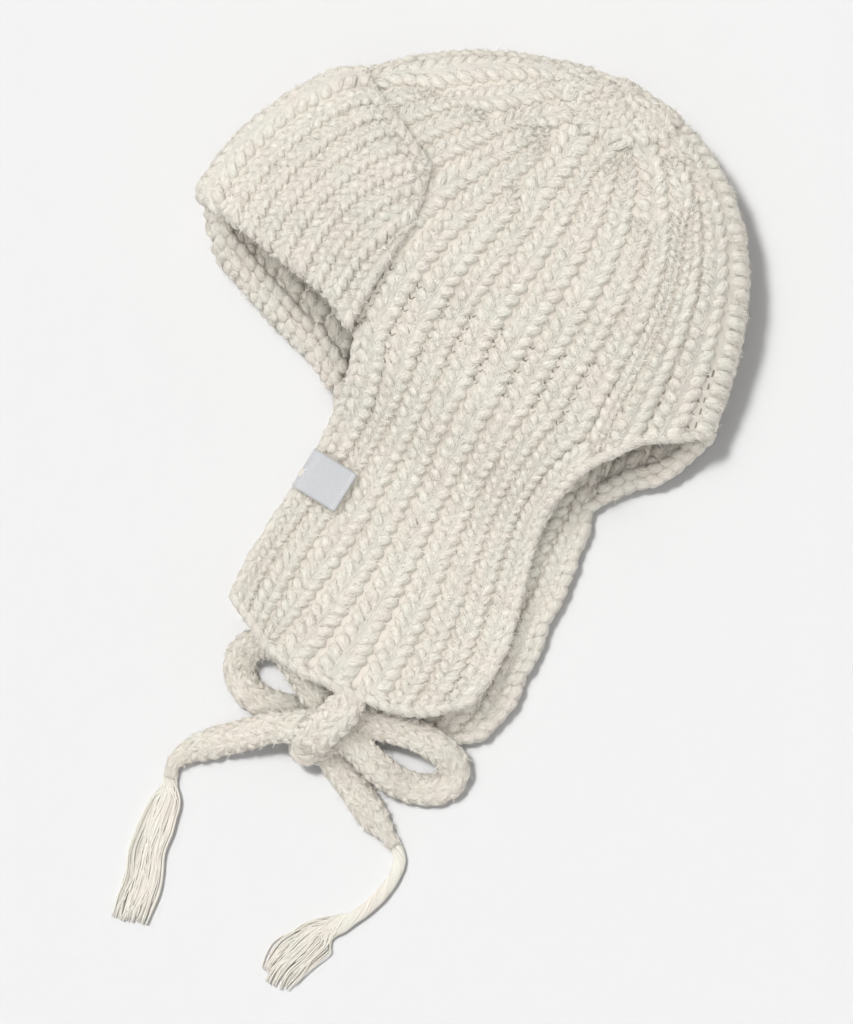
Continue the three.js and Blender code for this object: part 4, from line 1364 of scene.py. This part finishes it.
def make_fuzz():
    for name, packed, count, long, slot in (
        ("near_fuzz", NEAR_STITCHES, 150000, 7000, "rib_knit"),
        ("far_fuzz", FAR_STITCHES, 46000, 3000, "rib_knit"),
        ("inner_fuzz", INNER_STITCHES, 14000, 1000, "rib_knit"),
        ("peak_fuzz", PEAK_STITCHES, 62000, 4000, "peak_knit"),
    ):
        parts = Parts()
        fuzz(parts, packed, count)
        strays(parts, packed, long)
        parts.object(name, FIBRES)


make_fuzz()


# The side label: folded round the near flap's front edge
LABEL_WIDTH = 25.0
LABEL_HEIGHT = 22.0
LABEL_THICKNESS = 0.5
LABEL_ALONG = 1.513
LABEL_TURN = math.radians(-8)
LABEL_SHIFT = 2.4
LABEL_WAVE = 0.35
HEM = 2.2  # the turned-in end of the label
HEM_RISE = 0.35
LABEL_STITCHES = 11
SEAM_LEG = 0.62
SEAM_RISE = 0.42
SEAM_ARCH = 0.3
SEAM_THREAD = (0.24, 0.2)


def make_label():
    low, high = (np.array(c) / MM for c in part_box("side_label"))
    edge = wall_middle(FIRST_FLAP, LABEL_ALONG)
    top, bottom = high[2] - LABEL_THICKNESS / 2, low[2] + LABEL_THICKNESS / 2
    radius = (top - bottom) / 2
    under = np.linspace(LABEL_WIDTH, 0, 14)[:-1]
    turn = np.linspace(-math.pi / 2, math.pi / 2, 16)
    over = np.linspace(0, LABEL_WIDTH - radius, 20)[1:]
    x = np.concatenate([under, -np.cos(turn) * radius, over])
    z = np.concatenate([0 * under + bottom, (top + bottom) / 2 + np.sin(turn) * radius, 0 * over + top])
    y = np.linspace(-LABEL_HEIGHT / 2, LABEL_HEIGHT / 2, 16)
    grid_x, grid_y = np.meshgrid(x, y, indexing="ij")
    on_top = z[:, None] > bottom + radius
    hem = smooth((grid_x - (LABEL_WIDTH - radius - HEM)) / 0.5)
    grid_z = z[:, None] + LABEL_WAVE * np.sin(grid_y / 4.5 + grid_x / 8) * on_top - LABEL_WAVE
    grid_z = grid_z + HEM_RISE * hem * on_top
    cos, sin = math.cos(LABEL_TURN), math.sin(LABEL_TURN)
    place = np.stack([
        edge[0] + LABEL_SHIFT + cos * grid_x - sin * grid_y, edge[1] + sin * grid_x + cos * grid_y, grid_z,
    ], axis=-1)
    normal = unit(np.cross(np.gradient(place, axis=0), np.gradient(place, axis=1)))

    def surface(u, v, height):
        return place[u, v] + normal[u, v] * height[..., None]

    parts = Parts()
    sheet_between(parts, surface, np.arange(len(x)), np.arange(len(y)), LABEL_THICKNESS)
    run = run_along(np.stack([x, z], axis=-1))
    uv = np.stack(np.meshgrid(run, y, indexing="ij"), axis=-1).reshape(-1, 2)
    parts.uv[0] = np.concatenate([uv, uv])
    piece = parts.object("blank_label", LABEL)
    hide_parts("side_label")
    sew_label(place[len(x) - 3])


def sew_label(row):
    """Small stitches along the label's hem, which follows a row of its points."""
    seam = Parts()
    base = points_at(np.linspace(1, len(row) - 2, LABEL_STITCHES), np.arange(len(row)), row)
    ahead = unit(row[-1] - row[0])
    share = np.linspace(-1, 1, 5)[None, :, None]
    centre = base[:, None] + ahead * share * SEAM_LEG + UP * (SEAM_RISE - SEAM_ARCH * share**2)
    beside = np.broadcast_to(unit(np.cross(ahead, UP)), centre.shape)
    outward = np.broadcast_to(UP, centre.shape)
    seam.tubes(rings_round(centre, beside * SEAM_THREAD[0], outward * SEAM_THREAD[1], 6), 1.0, 0.9)
    seam.object("label_stitches", TASSEL)


make_label()


# Floor, light and colour
FLOOR_REACH = 4.0
WORLD_LIGHT = 0.43


def stage():
    mesh = bpy.data.meshes.new("floor")
    corners = [(x * FLOOR_REACH, y * FLOOR_REACH, 0) for x, y in ((-1, -1), (1, -1), (1, 1), (-1, 1))]
    mesh.from_pydata(corners, [], [(0, 1, 2, 3)])
    mesh.materials.append(FLOOR)
    floor = bpy.data.objects.new("floor", mesh)
    bpy.context.scene.collection.objects.link(floor)


def sun(name, strength, spread, elevation, azimuth, only_floor=None):
    """A soft distant light; azimuth is where it comes from, turned with the photograph."""
    data = bpy.data.lights.new(name, "SUN")
    data.energy = strength
    data.angle = math.radians(spread)
    made = bpy.data.objects.new(name, data)
    turn = math.radians(azimuth) + CAMERA_TURN
    high = math.radians(elevation)
    origin = Vector((math.cos(turn) * math.cos(high), math.sin(turn) * math.cos(high), math.sin(high)))
    made.rotation_euler = origin.to_track_quat("Z", "Y").to_euler()
    bpy.context.scene.collection.objects.link(made)
    if only_floor is not None:
        group = bpy.data.collections.new(name + "_lights")
        group.objects.link(bpy.data.objects["floor"])
        group.collection_objects[0].light_linking.link_state = "INCLUDE" if only_floor else "EXCLUDE"
        made.light_linking.receiver_collection = group


stage()
sun("key", strength=0.82, spread=22, elevation=54, azimuth=135)
sun("floor_light", strength=1.98, spread=9, elevation=57, azimuth=135, only_floor=True)
sun("fill", strength=1.94, spread=120, elevation=78, azimuth=150, only_floor=False)
world = bpy.data.worlds.new("studio")
world.use_nodes = True
world.node_tree.nodes["Background"].inputs["Color"].default_value = (1.0, 1.0, 1.0, 1)
world.node_tree.nodes["Background"].inputs["Strength"].default_value = WORLD_LIGHT
bpy.context.scene.world = world
bpy.context.scene.view_settings.view_transform = "Standard"
